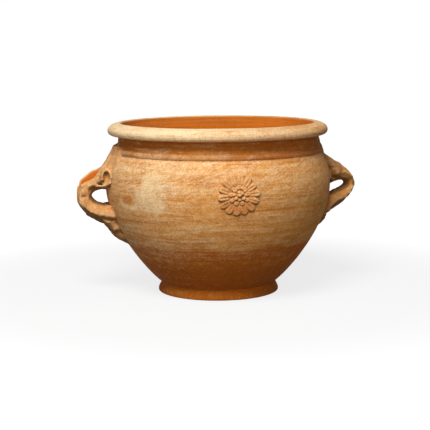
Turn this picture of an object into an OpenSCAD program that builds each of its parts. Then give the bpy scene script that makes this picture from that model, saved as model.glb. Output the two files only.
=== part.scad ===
// Hand-made terracotta planter: foot, belly, waisted neck, rolled rim, two channelled
// strap handles on clay roots, and a pressed rosette on the front.
// Millimetres. +Z is up, the rosette faces -Y and the handles lie along X.
// The origin is the centre of the circle that the foot stands on.

/* [Pot] */
// Height of the pot, from the ground to the crest of the rim
pot_h = 340; // [330:1:350]
// Widest outer radius of the belly
belly_r = 225.5; // [218:0.5:236]
// Height from the belly's widest ring up to the crease under the cordon
shoulder_h = 63.5; // [58:0.5:70]
// Wall thickness of the belly
belly_wall_t = 14; // [10:0.5:18]
// Angle at which the wall rises from the foot
foot_lean = 36; // [32:0.5:40]
// Angle at which the shoulder leans in to the crease, from the level
shoulder_lean = 51.6; // [46:0.2:58]
// Slip gap left between two luted pieces that meet on a curve
slip = 0.3; // [0.1:0.05:0.5]

/* [Foot and floor] */
// Outer radius of the foot where it stands
foot_r = 122; // [119:0.5:128]
// Outer radius of the waist on top of the foot
waist_r = 115.5; // [112:0.5:118]
// Height of the foot
foot_h = 20; // [17:0.5:24]
// Height of the lip under the floor, which lifts it off the ground
lip_h = 5; // [4:0.5:6]
// Width of the ledge that the floor rests on
ledge_w = 8; // [6:0.5:10]
// Radius of the drain hole
drain_r = 12; // [8:0.5:16]
// Width of the wall's foot, where it stands on the foot ring
wall_foot_w = 22; // [19:0.5:26]

/* [Neck and rim] */
// Height of the neck, from the crease up to the rim's seat
neck_h = 30.5; // [28:0.5:33]
// Narrowest outer radius of the neck
neck_r = 199; // [195:0.5:203]
// How much wider the neck is at its base, behind the cordon
neck_spread = 5.5; // [4:0.5:6]
// Wall thickness of the neck
neck_wall_t = 12.5; // [10:0.5:15]
// How far the cordon stands out from the neck's base
cordon_out = 5; // [4.5:0.1:5.5]
// Radius of the cordon's round bead
cordon_bead_r = 4.2; // [3.8:0.1:4.6]
// Height of the rim roll, from its seat to its crest
rim_h = 28; // [26:0.5:31]
// How far the rim's nose overhangs the neck
rim_overhang = 21; // [18:0.5:24]
// How far the rim's nose lies below the crest
nose_drop = 15; // [13:0.5:17]
// How far the rim's crest stands back from the inside of the neck
crest_back = 5; // [3:0.5:7]
// Height of the tongue in each lapped seam of the wall
lap_h = 6; // [4:0.5:7]

/* [Handles] */
// How far the finger holes' centres lie inside the belly's widest radius
grip_in = 1.5; // [0:0.5:3]
// How much further out the right handle sits, set so by hand
right_out = 2.5; // [0:0.5:4]
// How far below the belly's widest ring the left finger hole's centre is
grip_drop_left = 22; // [19:0.5:25]
// How far below that ring the right finger hole's centre is, a little higher
grip_drop_right = 12.5; // [11:0.5:16]
// Reach of the finger hole, outwards from its centre
hole_reach = 31; // [28:0.5:33]
// Height of the finger hole
hole_h = 31; // [28:0.5:34]
// Reach of the strap's outer line, outwards from the hole's centre
loop_reach = 60; // [57:0.5:63]
// Height of the strap's outer line above the hole's centre
loop_up = 55; // [52:0.5:57]
// Depth of the strap's outer line below the hole's centre
loop_down = 60; // [56:0.5:62]
// Roundness of the left loop: 2 is an ellipse, less is more pointed
left_round = 2.1; // [1.6:0.1:2.4]
// Roundness of the right loop
right_round = 1.6; // [1.5:0.1:2.4]
// How much flatter the left strap's front edge runs than its back edge, on top
lean_left = 8; // [5:0.5:10]
// How much flatter the right strap's front edge runs than its back edge, on top
lean_right = 2; // [0:0.5:4]
// Width of the strap
strap_w = 44; // [40:0.5:46]
// Extra width of the strap where it meets its roots
strap_flare = 5; // [3:0.5:6]
// Depth of the channel along the strap's outer face
channel_d = 8; // [5:0.5:9]
// How far the strap's flat seats stand out from the belly's widest radius
seat_stand = 8.5; // [8:0.5:9.5]

/* [Roots] */
// Half width of a root
root_half_w = 42; // [39:0.5:46]
// How far an upper root climbs above the finger hole's centre
root_rise = 102; // [98:0.5:104]
// How far the left lower root runs down below the finger hole's centre
root_drop_left = 98; // [94:0.5:102]
// How far the right lower root runs down below the finger hole's centre
root_drop_right = 86; // [83:0.5:90]
// How far the upper root's back stands out from the neck at its top end
root_top_out = 8.7; // [7:0.1:10.5]
// How far the right upper root's back sags below a straight slope
root_sag = 6; // [3:0.5:7]
// Thickness of the upper root beside the strap
upper_swell = 7; // [5:0.5:9]
// Thickness of the lower root below the strap
lower_swell = 18; // [15:0.5:20]
// Thickness at the smeared edge of each root and of the rosette
feather_t = 0.8; // [0.6:0.1:1.2]
// How far the swell of a root runs on beside the strap
root_blend = 14; // [11:0.5:17]
// Depth of the thumb hollow beside the left strap
thumb_d = 5; // [3:0.5:6]
// Half width of the thumb hollow
thumb_w = 5.5; // [4.5:0.5:6.5]
// Half height of the thumb hollow
thumb_h = 12; // [10:0.5:14]
// Height of the hollow's centre above the top of the finger hole
thumb_up = 20; // [18:0.5:22]
// Height of the lip that the thumb pushed up round it
thumb_lip = 3.5; // [2.5:0.5:4.5]

/* [Rosette] */
// Outer radius of the rosette
rosette_r = 41; // [38:0.5:44]
// Number of petals
petals = 12; // [9:1:14]
// Relief of the petals
petal_t = 4.5; // [3.5:0.1:5]
// Number of pellets round the button
pellets = 9; // [7:1:10]
// Radius of each pellet
pellet_r = 3.6; // [3:0.1:4]
// Radius of the button
button_r = 7.5; // [6.5:0.1:8]
// Height of the button above its seat
button_t = 4.2; // [3.5:0.1:4.5]
// Thickness of the sprig under the button
button_seat_t = 2.4; // [2:0.1:2.8]

/* [Hidden] */
$fn = 96;

clay = [0.78, 0.50, 0.28];
pale_clay = [0.88, 0.68, 0.44];
deep_clay = [0.66, 0.38, 0.18];

// Heights, from the crest down. The cordon's bead is sunk a little into the crease.
bead_rise = 0.8;
rim_z = pot_h - rim_h;
shoulder_z = rim_z - neck_h;
belly_z = shoulder_z - shoulder_h;
cordon_z = shoulder_z + bead_rise * cordon_bead_r;
cordon_top_z = cordon_z + cordon_bead_r;

// Radii of the neck and rim. The shoulder ends in a small step outside the neck's base.
shoulder_step = 1;
neck_base_r = neck_r + neck_spread;
neck_in_r = neck_r - neck_wall_t;
shoulder_r = neck_base_r + shoulder_step;
cordon_r = neck_base_r + cordon_out;
rim_r = neck_r + rim_overhang;
rim_in_r = neck_in_r + crest_back;
// The seam between two lapped wall pieces lies mid-wall
lap_r = (neck_in_r + neck_base_r) / 2;
rim_lap_r = (neck_in_r + neck_r) / 2;

// The floor lies inside the foot ring, on its ledge, and the wall stands round it, with a
// small step outside the waist
waist_step = 0.7;
bowl_start = [waist_r + waist_step, foot_h];
bowl_in_r = bowl_start[0] - wall_foot_w;
floor_r = bowl_in_r - slip;
floor_t = foot_h - lip_h;

// The strap's flat seats, and the slope of the upper root's back from there to the neck
seat_x = belly_r + seat_stand;
root_slope = (seat_x - neck_r - root_top_out) / (root_rise - loop_up);

// Curves

function bezier(a, b, c, d, t) =
    pow(1 - t, 3) * a + 3 * t * pow(1 - t, 2) * b + 3 * t * t * (1 - t) * c + pow(t, 3) * d;
function curve(a, b, c, d, steps) = [for (i = [0:steps]) bezier(a, b, c, d, i / steps)];
// Smooth step from 0 at a to 1 at b, for a either side of b
function glide(x, a, b) = let (t = min(1, max(0, (x - a) / (b - a)))) t * t * (3 - 2 * t);
function rises(points) = [for (p = points) [p[1], p[0]]];
function without_first(points) = [for (i = [1:len(points) - 1]) points[i]];
function reversed(points) = [for (i = [len(points) - 1:-1:0]) points[i]];

// How long each line of the wall keeps its direction at an end, as a share of its chord
// (from the foot) or of its height
foot_pull = 0.163;
bowl_pull = 0.405;
shoulder_pull = 0.47;
crease_pull = 0.3;
widest = [belly_r, belly_z];
crease = [shoulder_r, shoulder_z];
// Outer line of the bowl, from the foot up to the widest ring, where it stands upright
bowl_outer = curve(bowl_start,
    bowl_start + foot_pull * norm(widest - bowl_start) * [cos(foot_lean), sin(foot_lean)],
    widest - [0, bowl_pull * (belly_z - foot_h)], widest, 18);
// Outer line of the shoulder, from the widest ring up to the crease
shoulder_outer = curve(widest, widest + [0, shoulder_pull * shoulder_h],
    crease + crease_pull * shoulder_h * [cos(shoulder_lean), -sin(shoulder_lean)], crease, 10);

// A line moved inwards by the wall thickness, without its two ends
function inset(line, t) = [for (i = [1:len(line) - 2])
    let (run = line[i + 1] - line[i - 1]) line[i] + t * [-run[1], run[0]] / norm(run)];

// The neck draws in over neck_ease above the cordon
neck_ease = 10;
neck_outer = curve([neck_base_r, cordon_top_z], [neck_base_r - 3, cordon_top_z + neck_ease / 2],
    [neck_r, cordon_top_z + neck_ease], [neck_r, rim_z], 10);

// The rim's outline runs from its seat on the neck by its soffit and nose over the crest
// into the throat. Each curve's middle points are written from its ends.
soffit_h = 4.2;
soffit_back = 7;
crest_round = 6.5;
throat_h = 7;
seat = [neck_r, rim_z];
soffit = [rim_r - soffit_back, rim_z + soffit_h];
nose = [rim_r, pot_h - nose_drop];
crest = [rim_in_r + crest_round, pot_h];
throat = [rim_in_r, pot_h - throat_h];
rim_line = concat(
    curve(seat, seat + [4, 3.6], soffit - [5, 0.8], soffit, 5),
    without_first(curve(soffit, soffit + [5, 1], nose - [0, 4], nose, 6)),
    without_first(curve(nose, nose + [0, 7], crest + [14, -1.5], crest, 9)),
    without_first(curve(crest, crest - [3.5, 0], throat + [0.6, 5], throat, 5)));

// Outer radius of the finished pot at a height. From bridge_h below the crease, the clay of a
// root bridges the hollow under the cordon.
bridge_h = 8;
function cordon_at(z) = abs(z - cordon_z) < cordon_bead_r
    ? cordon_r - cordon_bead_r + sqrt(pow(cordon_bead_r, 2) - pow(z - cordon_z, 2)) : 0;
function wall_at(z) = z < belly_z ? lookup(z, rises(bowl_outer))
    : z < shoulder_z ? lookup(z, rises(shoulder_outer)) : lookup(z, rises(neck_outer));
function skin_at(z) = max(wall_at(z), cordon_at(z),
    z > shoulder_z - bridge_h && z < cordon_z ? cordon_r : 0);

// A closed shell between two grids of points that share rows and columns
module shell(inner, outer) {
    rows = len(outer);
    cols = len(outer[0]);
    half = rows * cols;
    rim = concat(
        [for (c = [0:cols - 1]) c],
        [for (r = [1:rows - 1]) r * cols + cols - 1],
        [for (c = [cols - 2:-1:0]) (rows - 1) * cols + c],
        [for (r = [rows - 2:-1:1]) r * cols]);
    count = len(rim);
    polyhedron(
        points = concat([for (row = outer) each row], [for (row = inner) each row]),
        faces = concat(
            [for (r = [0:rows - 2], c = [0:cols - 2]) let (i = r * cols + c)
                each [[i, i + 1, i + cols], [i + 1, i + cols + 1, i + cols]]],
            [for (r = [0:rows - 2], c = [0:cols - 2]) let (i = half + r * cols + c)
                each [[i, i + cols, i + 1], [i + 1, i + cols, i + cols + 1]]],
            [for (k = [0:count - 1]) let (a = rim[k], b = rim[(k + 1) % count])
                each [[a, a + half, b], [b, a + half, b + half]]]),
        convexity = 6);
}

// Foot and floor

module base_slab() {
    color(deep_clay)
        rotate_extrude()
            translate([drain_r, lip_h]) square([floor_r - drain_r, floor_t]);
}

// The foot's side swells a little above the ground and flares out under the waist
foot_swell = [0.6, 0.35 * foot_h];
waist_flare = [2, -0.4 * foot_h];

module foot_ring() {
    ground = [foot_r, 0];
    waist = [waist_r, foot_h];
    outer = curve(ground, ground + foot_swell, waist + waist_flare, waist, 8);
    color(deep_clay)
        rotate_extrude()
            polygon(concat(outer, [
                [bowl_in_r, foot_h],
                [bowl_in_r, lip_h],
                [bowl_in_r - ledge_w, lip_h],
                [bowl_in_r - ledge_w, 0]]));
}

// Walls

module bowl_wall() {
    color(clay)
        rotate_extrude()
            polygon(concat(bowl_outer, [[belly_r - belly_wall_t, belly_z]],
                reversed(inset(bowl_outer, belly_wall_t)), [[bowl_in_r, foot_h]]));
}

module shoulder_wall() {
    color(clay)
        rotate_extrude()
            polygon(concat(shoulder_outer, [
                [lap_r, shoulder_z],
                [lap_r, shoulder_z + lap_h],
                [neck_in_r, shoulder_z + lap_h],
                [neck_in_r, shoulder_z]],
                reversed(inset(shoulder_outer, belly_wall_t)),
                [[belly_r - belly_wall_t, belly_z]]));
}

module neck_collar() {
    color(clay)
        rotate_extrude()
            polygon(concat([
                [lap_r + slip, shoulder_z + lap_h],
                [lap_r + slip, shoulder_z],
                [neck_base_r, shoulder_z]],
                neck_outer, [
                [rim_lap_r, rim_z],
                [rim_lap_r, rim_z + lap_h],
                [neck_in_r, rim_z + lap_h],
                [neck_in_r, shoulder_z + lap_h]]));
}

module neck_cordon() {
    back_r = neck_base_r + slip;
    bead = [for (a = [-90:15:90])
        [cordon_r - cordon_bead_r, cordon_z] + cordon_bead_r * [cos(a), sin(a)]];
    color(pale_clay)
        rotate_extrude()
            polygon(concat([[back_r, shoulder_z + slip]],
                [for (p = bead) if (p[1] > shoulder_z + slip && p[0] > back_r) p],
                [[back_r, cordon_top_z]]));
}

// Height of the lap's upright inner face, under the throat
throat_foot_h = 4;

module rim_roll() {
    color(pale_clay)
        rotate_extrude()
            polygon(concat(rim_line, [
                [neck_in_r, rim_z + lap_h + throat_foot_h],
                [neck_in_r, rim_z + lap_h],
                [rim_lap_r + slip, rim_z + lap_h],
                [rim_lap_r + slip, rim_z]]));
}

// Handles, drawn on the +X side with their front at -Y

// A handle is given as [height of the hole's centre, its distance from the axis, lean,
// roundness of the loop, sag of the upper root's back]
function hole_z(handle) = handle[0];
function hole_x(handle) = handle[1];
function lean(handle) = handle[2];
function loop_round(handle) = handle[3];
function sag(handle) = handle[4];
left = [belly_z - grip_drop_left, belly_r - grip_in, lean_left, left_round, 0];
right = [belly_z - grip_drop_right, belly_r - grip_in + right_out, lean_right, right_round,
    root_sag];

// Roundness of the finger hole, where 2 is an ellipse, and of the strap's section
hole_round = 2.3;
section_round = 0.6;
// How far the loop's front edge stays inside its back edge at the tip, and how many times
// the lean counts under the hole
front_in = 2;
low_lean = 3;
// The channel's middle and half width across the strap, the share of its depth that is left
// under the hole, and the turn in which it deepens
channel_mid = 0.12;
channel_half = 0.34;
channel_low = 0.45;
channel_turn = [-10, 35];
// Turn in which the strap widens towards its roots
flare_turn = [45, 80];

// Distance from the hole's centre to a rounded line with the given reaches, at angle a
function reach_at(a, out, up, p) = pow(pow(cos(a) / out, p) + pow(abs(sin(a)) / up, p), -1 / p);
// Inside of the strap
function hole_at(a) = reach_at(a, hole_reach, hole_h / 2, hole_round);
// Outside of the strap: v runs from -1 at the front edge to 1 at the back edge
function loop_at(a, v, handle) =
    let (front = (1 - v) / 2,
        down = loop_down - low_lean * lean(handle) * front,
        up = loop_up - lean(handle) * front)
    reach_at(a, loop_reach - front_in * front, a < 0 ? down : up, loop_round(handle));
// Depth of the channel there
function channel_at(a, v) =
    channel_d * (channel_low + (1 - channel_low) * glide(a, channel_turn[0], channel_turn[1]))
        * exp(-pow((v - channel_mid) / channel_half, 2));
// Rounded outline of the strap's section, as [across, through], each from -1 to 1
function rounded(q) = let (c = cos(q), s = sin(q))
    [sign(c) * pow(abs(c), section_round), sign(s) * pow(abs(s), section_round)];
function strap_rho(a, q, handle) =
    let (e = rounded(q), near = hole_at(a), far = loop_at(a, e[0], handle))
    (near + far) / 2 + e[1] * (far - near) / 2 - max(0, e[1]) * channel_at(a, e[0]);
function strap_y(a, q) =
    rounded(q)[0] * (strap_w + strap_flare * glide(abs(a), flare_turn[0], flare_turn[1])) / 2;
// Angle at which a line along the strap reaches its flat seat, above (+1) or below (-1)
function seat_angle(q, handle, side, low = 0, high = 90, n = 20) =
    let (mid = (low + high) / 2)
    n == 0 ? mid
    : hole_x(handle) + strap_rho(side * mid, q, handle) * cos(mid) > seat_x
        ? seat_angle(q, handle, side, mid, high, n - 1)
        : seat_angle(q, handle, side, low, mid, n - 1);

module strap(handle) {
    rings = 28;
    sides = 22;
    qs = [for (j = [0:sides - 1]) 360 * j / sides];
    ends = [for (q = qs) [seat_angle(q, handle, 1), -seat_angle(q, handle, -1)]];
    points = [for (i = [0:rings], j = [0:sides - 1])
        let (a = ends[j][0] + (ends[j][1] - ends[j][0]) * i / rings,
            rho = strap_rho(a, qs[j], handle),
            x = i == 0 || i == rings ? seat_x : hole_x(handle) + rho * cos(a))
        [x, strap_y(a, qs[j]), hole_z(handle) + rho * sin(a)]];
    last = rings * sides;
    polyhedron(points, concat(
        [for (i = [0:rings - 1], j = [0:sides - 1])
            let (p = i * sides, k = (j + 1) % sides)
            each [[p + j, p + sides + j, p + k], [p + k, p + sides + j, p + sides + k]]],
        [for (j = [0:sides / 2 - 1]) let (m = (sides - j) % sides, n = sides - j - 1)
            each concat(j == 0 ? [] : [[m, j, j + 1]], n == j + 1 ? [] : [[m, j + 1, n]])],
        [for (j = [0:sides / 2 - 1]) let (m = last + (sides - j) % sides, n = last + sides - j - 1)
            each concat(j == 0 ? [] : [[m, last + j + 1, last + j]],
                n == last + j + 1 ? [] : [[m, n, last + j + 1]])]),
        convexity = 6);
}

module strap_left() { color(pale_clay) mirror([1, 0, 0]) strap(left); }
module strap_right() { color(pale_clay) strap(right); }

// Roots. Heights are counted from the finger hole's centre.

// Height at which a strap's flat seat begins, and the root's beginning behind it
seat_in = 0.95 * hole_h / 2;
root_in = seat_in - 6;
// Height over which a root's outer end runs out, above and below the strap
upper_end_h = 6;
lower_end_h = 15;
// Height over which a lower root swells to the strap's seat
seat_ease = 7;
// A root's width, as a share: root_taper less at its middle than at its top and as much again
// at its foot, and root_end_w at least at its rounded ends
root_taper = 0.07;
root_end_w = 0.25;
// How square a root's outline is, and how round its corners are
root_square = 6;
root_corner = 0.45;
// Share of a root's half width at which its smeared edge begins
smear = 0.66;
// How far a root stays full beside the strap before it starts to thin
behind_lap = 3;
// The thumb hollow's distance from the strap, and the radii, as shares of the hollow's, of
// the hollow and of the lip round it
thumb_out = 9;
hollow_spread = 0.8;
lip_at = 1.25;
lip_spread = 0.4;

// Height of the strap's outer line on its seat, at y across, above (+1) or below (-1) the hole
function seat_out(y, handle, side) =
    let (v = max(-1, min(1, 2 * y / strap_w)), off = seat_x - hole_x(handle),
        a = side * acos(off / loop_at(side * 90, v, handle)))
    sqrt(pow(loop_at(a, v, handle), 2) - off * off);
// Heights or shares from a towards b, without b
function spread(a, b, n) = [for (i = [0:n - 1]) a + (b - a) * i / n];

// Half width of a root at share t of its height, from -1 at the bottom to 1 at the top
function root_w(t) = root_half_w * (1 - root_taper * (1 - t))
    * max(root_end_w, pow(1 - pow(abs(t), root_square), root_corner));

// A root is a smeared pad: hs are the heights of its rows, and its columns stand closer
// together at the smeared edge
module root(hs, handle, upper, drop, thumb) {
    side = concat(spread(0, 0.6, 4), spread(0.6, 0.84, 3), [0.84, 0.9, 0.95, 0.98, 1]);
    shares = concat([for (i = [len(side) - 1:-1:1]) -side[i]], side);
    last = len(hs) - 1;
    inner = [for (h = hs) let (w = root_w(2 * (h - hs[0]) / (hs[last] - hs[0]) - 1))
        [for (s = shares) let (y = w * s, z = hole_z(handle) + h)
            [sqrt(pow(skin_at(z) + slip, 2) - y * y), y, z]]];
    outer = [for (i = [0:last]) [for (c = [0:len(shares) - 1])
        let (p = inner[i][c], edge = glide(abs(shares[c]), 1, smear),
            t = upper ? upper_t(p, hs[i], handle, thumb) : lower_t(p, hs[i], handle, drop))
        [p[0] + feather_t + edge * max(0, min(t, seat_x - p[0] - feather_t)), p[1], p[2]]]];
    shell(inner, outer);
}

// Share of the strap's width: 1 behind the strap and 0 well beside it
function behind_strap(y) = glide(abs(y), strap_w / 2 + root_blend, strap_w / 2 + behind_lap);
// Hollow that a thumb pressed in front of the strap, and the lip pushed up round it
function thumb_print(y, h) =
    let (d = norm([(y + strap_w / 2 + thumb_out) / thumb_w, (h - seat_in - thumb_up) / thumb_h]))
    thumb_lip * exp(-pow((d - lip_at) / lip_spread, 2))
        - thumb_d * exp(-pow(d / hollow_spread, 2));

// Thickness of the upper root above its feather, at point p and height h. Behind the strap
// its back slopes from the seat to the neck.
function upper_t(p, h, handle, thumb) =
    let (sagged = sag(handle) * sin(180 * glide(h, loop_up, root_rise)),
        slope = seat_x - root_slope * (h - loop_up) - sagged - p[0] - feather_t,
        share = behind_strap(p[1]),
        beside = upper_swell + (thumb ? thumb_print(p[1], h) : 0))
    glide(h, root_in, seat_in) * glide(h, root_rise, root_rise - upper_end_h)
        * (share * slope + (1 - share) * beside);

// Thickness of the lower root above its feather
function lower_t(p, h, handle, drop) =
    let (low = -seat_out(p[1], handle, -1),
        seat = behind_strap(p[1]) * glide(h, low - seat_ease, low))
    glide(h, -root_in, -seat_in)
        * max(lower_swell * glide(h, -drop, lower_end_h - drop), seat * (seat_x - p[0]));

module upper_root(handle, thumb) {
    end = root_rise - upper_end_h;
    root(concat(spread(root_in, seat_in, 3), spread(seat_in, loop_up, 9),
            spread(loop_up, end, 9), spread(end, root_rise, 3), [root_rise]),
        handle, true, 0, thumb);
}

module lower_root(handle, drop) {
    end = lower_end_h - drop;
    root(concat(spread(-drop, end, 5), spread(end, -loop_down, 3),
            spread(-loop_down, -seat_in, 9), spread(-seat_in, -root_in, 3), [-root_in]),
        handle, false, drop, false);
}

module upper_root_left() { color(clay) mirror([1, 0, 0]) upper_root(left, true); }
module upper_root_right() { color(clay) upper_root(right, false); }
module lower_root_left() { color(deep_clay) mirror([1, 0, 0]) lower_root(left, root_drop_left); }
module lower_root_right() { color(deep_clay) lower_root(right, root_drop_right); }

// Rosette, drawn as a disc of rings at shares of its radius. Those inside button_share lie
// under the button.

rosette_rings = [0, 0.1, 0.19, 0.24, 0.29, 0.34, 0.39, 0.45, 0.55, 0.67, 0.79, 0.89, 0.96, 1];
rosette_back_rings = [0, 0.35, 0.7, 1];
button_share = 0.2;
rosette_seat_y = belly_r + slip + button_seat_t;
// Depth of the scallops between the petals' tips and between their ridges, as shares
scallop = 0.1;
valley = 0.7;
petal_fullness = 0.6;
// Shares of the radius at which the petals reach full height and start to round off
petal_full_at = 0.6;
petal_round_from = 0.62;
// Gap between the button and the pellets, and height of the dish that the pellets lie on
pellet_gap = 1.2;
dish_t = 1.2;

// 1 on a petal's ridge and 0 between two petals
function petal_share(a) = pow(abs(cos(a * petals / 2)), petal_fullness);
function rosette_edge(a) = rosette_r * (1 - scallop * (1 - petal_share(a)));
// Relief of the petals and pellets at radius rho and angle a
function rosette_t(rho, a) =
    let (round_off = sqrt(max(0, 1 - pow(glide(rho / rosette_edge(a), petal_round_from, 1), 2))),
        petal = petal_t * glide(rho / rosette_r, button_share, petal_full_at) * round_off
            * (1 - valley * (1 - petal_share(a))),
        step = 360 / pellets,
        off = (a / step - round(a / step)) * step,
        centre = button_r + pellet_r + pellet_gap,
        gap = norm([rho * cos(off) - centre, rho * sin(off)]),
        pellet = sqrt(max(0, pow(pellet_r, 2) - gap * gap)))
    feather_t + max(petal, pellet + dish_t * round_off);

module rosette_sprig() {
    steps = 108;
    outline = [for (j = [0:steps - 1]) let (a = 360 * j / steps) [a, rosette_edge(a)]];
    face = [for (s = rosette_rings) [for (e = outline)
        let (rho = s * e[1], p = rosette_back(rho, e[0]))
        [p[0], s < button_share ? -rosette_seat_y : p[1] - rosette_t(rho, e[0]), p[2]]]];
    back = [for (s = rosette_back_rings) [for (e = outline) rosette_back(s * e[1], e[0])]];
    color(pale_clay) disc_shell(back, face);
}

// Point on the belly under the rosette
function rosette_back(rho, a) =
    let (x = rho * cos(a), z = belly_z + rho * sin(a))
    [x, -sqrt(pow(skin_at(z) + slip, 2) - x * x), z];

// A closed shell between two discs, each a list of rings that starts with a single point
module disc_shell(back, face) {
    steps = len(face[0]);
    far = len(face) - 1;
    near = len(back) - 1;
    half = far * steps + 1;
    function at(i, j) = i == 0 ? 0 : 1 + (i - 1) * steps + j % steps;
    polyhedron(
        points = concat(
            [face[0][0]], [for (i = [1:far]) each face[i]],
            [back[0][0]], [for (i = [1:near]) each back[i]]),
        faces = concat(
            [for (j = [0:steps - 1]) each [
                [0, at(1, j + 1), at(1, j)],
                [half, half + at(1, j), half + at(1, j + 1)],
                [at(far, j), at(far, j + 1), half + at(near, j)],
                [at(far, j + 1), half + at(near, j + 1), half + at(near, j)]]],
            [for (i = [1:far - 1], j = [0:steps - 1]) each [
                [at(i, j), at(i, j + 1), at(i + 1, j)],
                [at(i, j + 1), at(i + 1, j + 1), at(i + 1, j)]]],
            [for (i = [1:near - 1], j = [0:steps - 1]) each [
                [half + at(i, j), half + at(i + 1, j), half + at(i, j + 1)],
                [half + at(i, j + 1), half + at(i + 1, j), half + at(i + 1, j + 1)]]]),
        convexity = 6);
}

// The button's dome stands on a short upright edge
button_edge_h = 1;

module rosette_button() {
    dome = [for (a = [0:10:90])
        [button_r * cos(a), button_edge_h + (button_t - button_edge_h) * sin(a)]];
    color(pale_clay)
        translate([0, -rosette_seat_y, belly_z])
            rotate([90, 0, 0])
                rotate_extrude()
                    polygon(concat([[0, 0], [button_r, 0]], dome));
}

base_slab();
foot_ring();
bowl_wall();
shoulder_wall();
neck_collar();
neck_cordon();
rim_roll();
strap_left();
strap_right();
upper_root_left();
upper_root_right();
lower_root_left();
lower_root_right();
rosette_sprig();
rosette_button();
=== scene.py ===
"""Looks of a hand-made terracotta planter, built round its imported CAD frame.

The frame is that of the CAD part: +Z is up, the rosette faces -Y and the handles lie along X.
Thrown outlines and modelled clay are worked out in millimetres and scaled once, by MM.
Node trees work in metres.
"""
import functools
import math

import bmesh
import bpy
import numpy as np
from bpy.props import FloatProperty, FloatVectorProperty, IntProperty, PointerProperty
from mathutils import Matrix, Vector


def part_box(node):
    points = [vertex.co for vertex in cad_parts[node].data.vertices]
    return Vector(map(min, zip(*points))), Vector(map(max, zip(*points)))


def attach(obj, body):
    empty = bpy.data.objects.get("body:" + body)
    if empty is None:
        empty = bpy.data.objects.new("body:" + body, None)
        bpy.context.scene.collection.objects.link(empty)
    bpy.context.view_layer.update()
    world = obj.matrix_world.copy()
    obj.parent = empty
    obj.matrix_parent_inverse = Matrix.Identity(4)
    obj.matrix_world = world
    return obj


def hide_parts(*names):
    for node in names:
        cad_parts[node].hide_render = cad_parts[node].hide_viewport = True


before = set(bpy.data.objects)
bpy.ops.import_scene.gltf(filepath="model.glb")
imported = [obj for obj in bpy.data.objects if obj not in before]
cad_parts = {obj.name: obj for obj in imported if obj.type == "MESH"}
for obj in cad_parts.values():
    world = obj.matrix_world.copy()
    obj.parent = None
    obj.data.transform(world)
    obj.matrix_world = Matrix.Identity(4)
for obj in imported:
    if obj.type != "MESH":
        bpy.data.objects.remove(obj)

bl_info = {
    "name": "Terracotta Planter",
    "version": (1, 0, 0),
    "blender": (4, 5, 0),
    "location": "3D View > Sidebar > Planter",
    "description": "Dresses the frame of a hand-made terracotta planter",
    "category": "Add Mesh",
}

MM = 0.001


# Sizes of the frame, in millimetres

def reach_of(piece):
    """Outer radius of a round CAD piece."""
    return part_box(piece)[1].x / MM


def foot_of(piece):
    """Height of the lowest point of a CAD piece."""
    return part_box(piece)[0].z / MM


def top_of(piece):
    """Height of the highest point of a CAD piece."""
    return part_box(piece)[1].z / MM


FOOT_R = reach_of("foot_ring")
FOOT_H = foot_of("bowl_wall")
LIP_H = foot_of("base_slab")
FLOOR_R = reach_of("base_slab")
BELLY_R = reach_of("bowl_wall")
BELLY_Z = foot_of("shoulder_wall")
CREASE_Z = foot_of("neck_collar")
NECK_BASE_R = reach_of("neck_collar")
CORDON_R = reach_of("neck_cordon")
CORDON_TOP_Z = top_of("neck_cordon")
RIM_Z = foot_of("rim_roll")
RIM_R = reach_of("rim_roll")
POT_H = top_of("rim_roll")
ROSETTE_R = reach_of("rosette_sprig")

# Sizes that no box of the frame shows, as in the CAD source
WAIST_R = 115.5
WAIST_STEP = 0.7
LEDGE_W = 8.0
WALL_FOOT_W = 22.0
WALL_T = 14.0
SLIP = 0.3
DRAIN_R = 12.0
FOOT_LEAN = math.radians(36)
SHOULDER_LEAN = math.radians(51.6)
NECK_R = 199.0
NECK_IN_R = 186.5
CREST_IN_R = NECK_IN_R + 5
CREST_ROUND = 6.5
THROAT_H = 7.0
NOSE_UP = 13.0


# Settings

def length(name, description, millimetres):
    """A length that a user can change."""
    return FloatProperty(name=name, description=description, default=millimetres * MM,
                         subtype="DISTANCE", unit="LENGTH")


def colour_of(name, description, *rgb):
    """A colour that a user can change."""
    return FloatVectorProperty(name=name, description=description, default=rgb, subtype="COLOR")


class PotSettings(bpy.types.PropertyGroup):
    turn_steps: IntProperty(
        name="Turn Steps", description="Faces round each thrown piece", default=480, min=48)
    wobble: length("Wobble", "How far the walls wander from round", 1.5)
    ridge_depth: length("Ridge Depth", "Depth of the throwing ridges", 0.7)
    ridge_spacing: length("Ridge Spacing", "Height of one throwing ridge", 13)
    seed: FloatProperty(name="Seed", description="Seed of the hand's unevenness", default=3.7)


class ClaySettings(bpy.types.PropertyGroup):
    mid: colour_of("Fired Clay", "Colour of the fired clay", 0.74, 0.315, 0.066)
    deep: colour_of("Deep Clay", "Colour of the hotter, redder clay", 0.47, 0.125, 0.008)
    pale: colour_of("Pale Clay", "Colour of the dry skin", 0.88, 0.65, 0.385)
    bloom: colour_of("Lime Bloom", "Colour of the lime that wept out", 0.95, 0.73, 0.42)
    inside: colour_of("Clean Clay", "Colour of the clean clay inside", 0.68, 0.165, 0.004)
    # Painted shade: the deep colour laid in finger marks, grooves, hollows and the rosette's gaps
    pressed: colour_of("Pressed Clay", "Colour of the clay in finger marks", 0.52, 0.105, 0.004)
    # Painted shade: the darker colour low on the bowl, by the foot
    foot: colour_of("Low Shade Clay", "Colour of the earthy clay by the foot", 0.40, 0.100, 0.007)
    # A damp stain on the handles, and painted shade on undersides, on the neck and in the
    # handles' holes
    damp_and_shade: colour_of("Damp and Shade Clay", "Colour of the dull clay on undersides", 0.19, 0.078, 0.018)


class HandleSettings(bpy.types.PropertyGroup):
    grain: length("Modelling Grain", "Finest step of the modelled clay", 1.2)
    undulation: length("Undulation", "Height of the finger marks", 0.9)
    seed: IntProperty(name="Seed", description="Seed of the finger marks", default=5)


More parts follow.
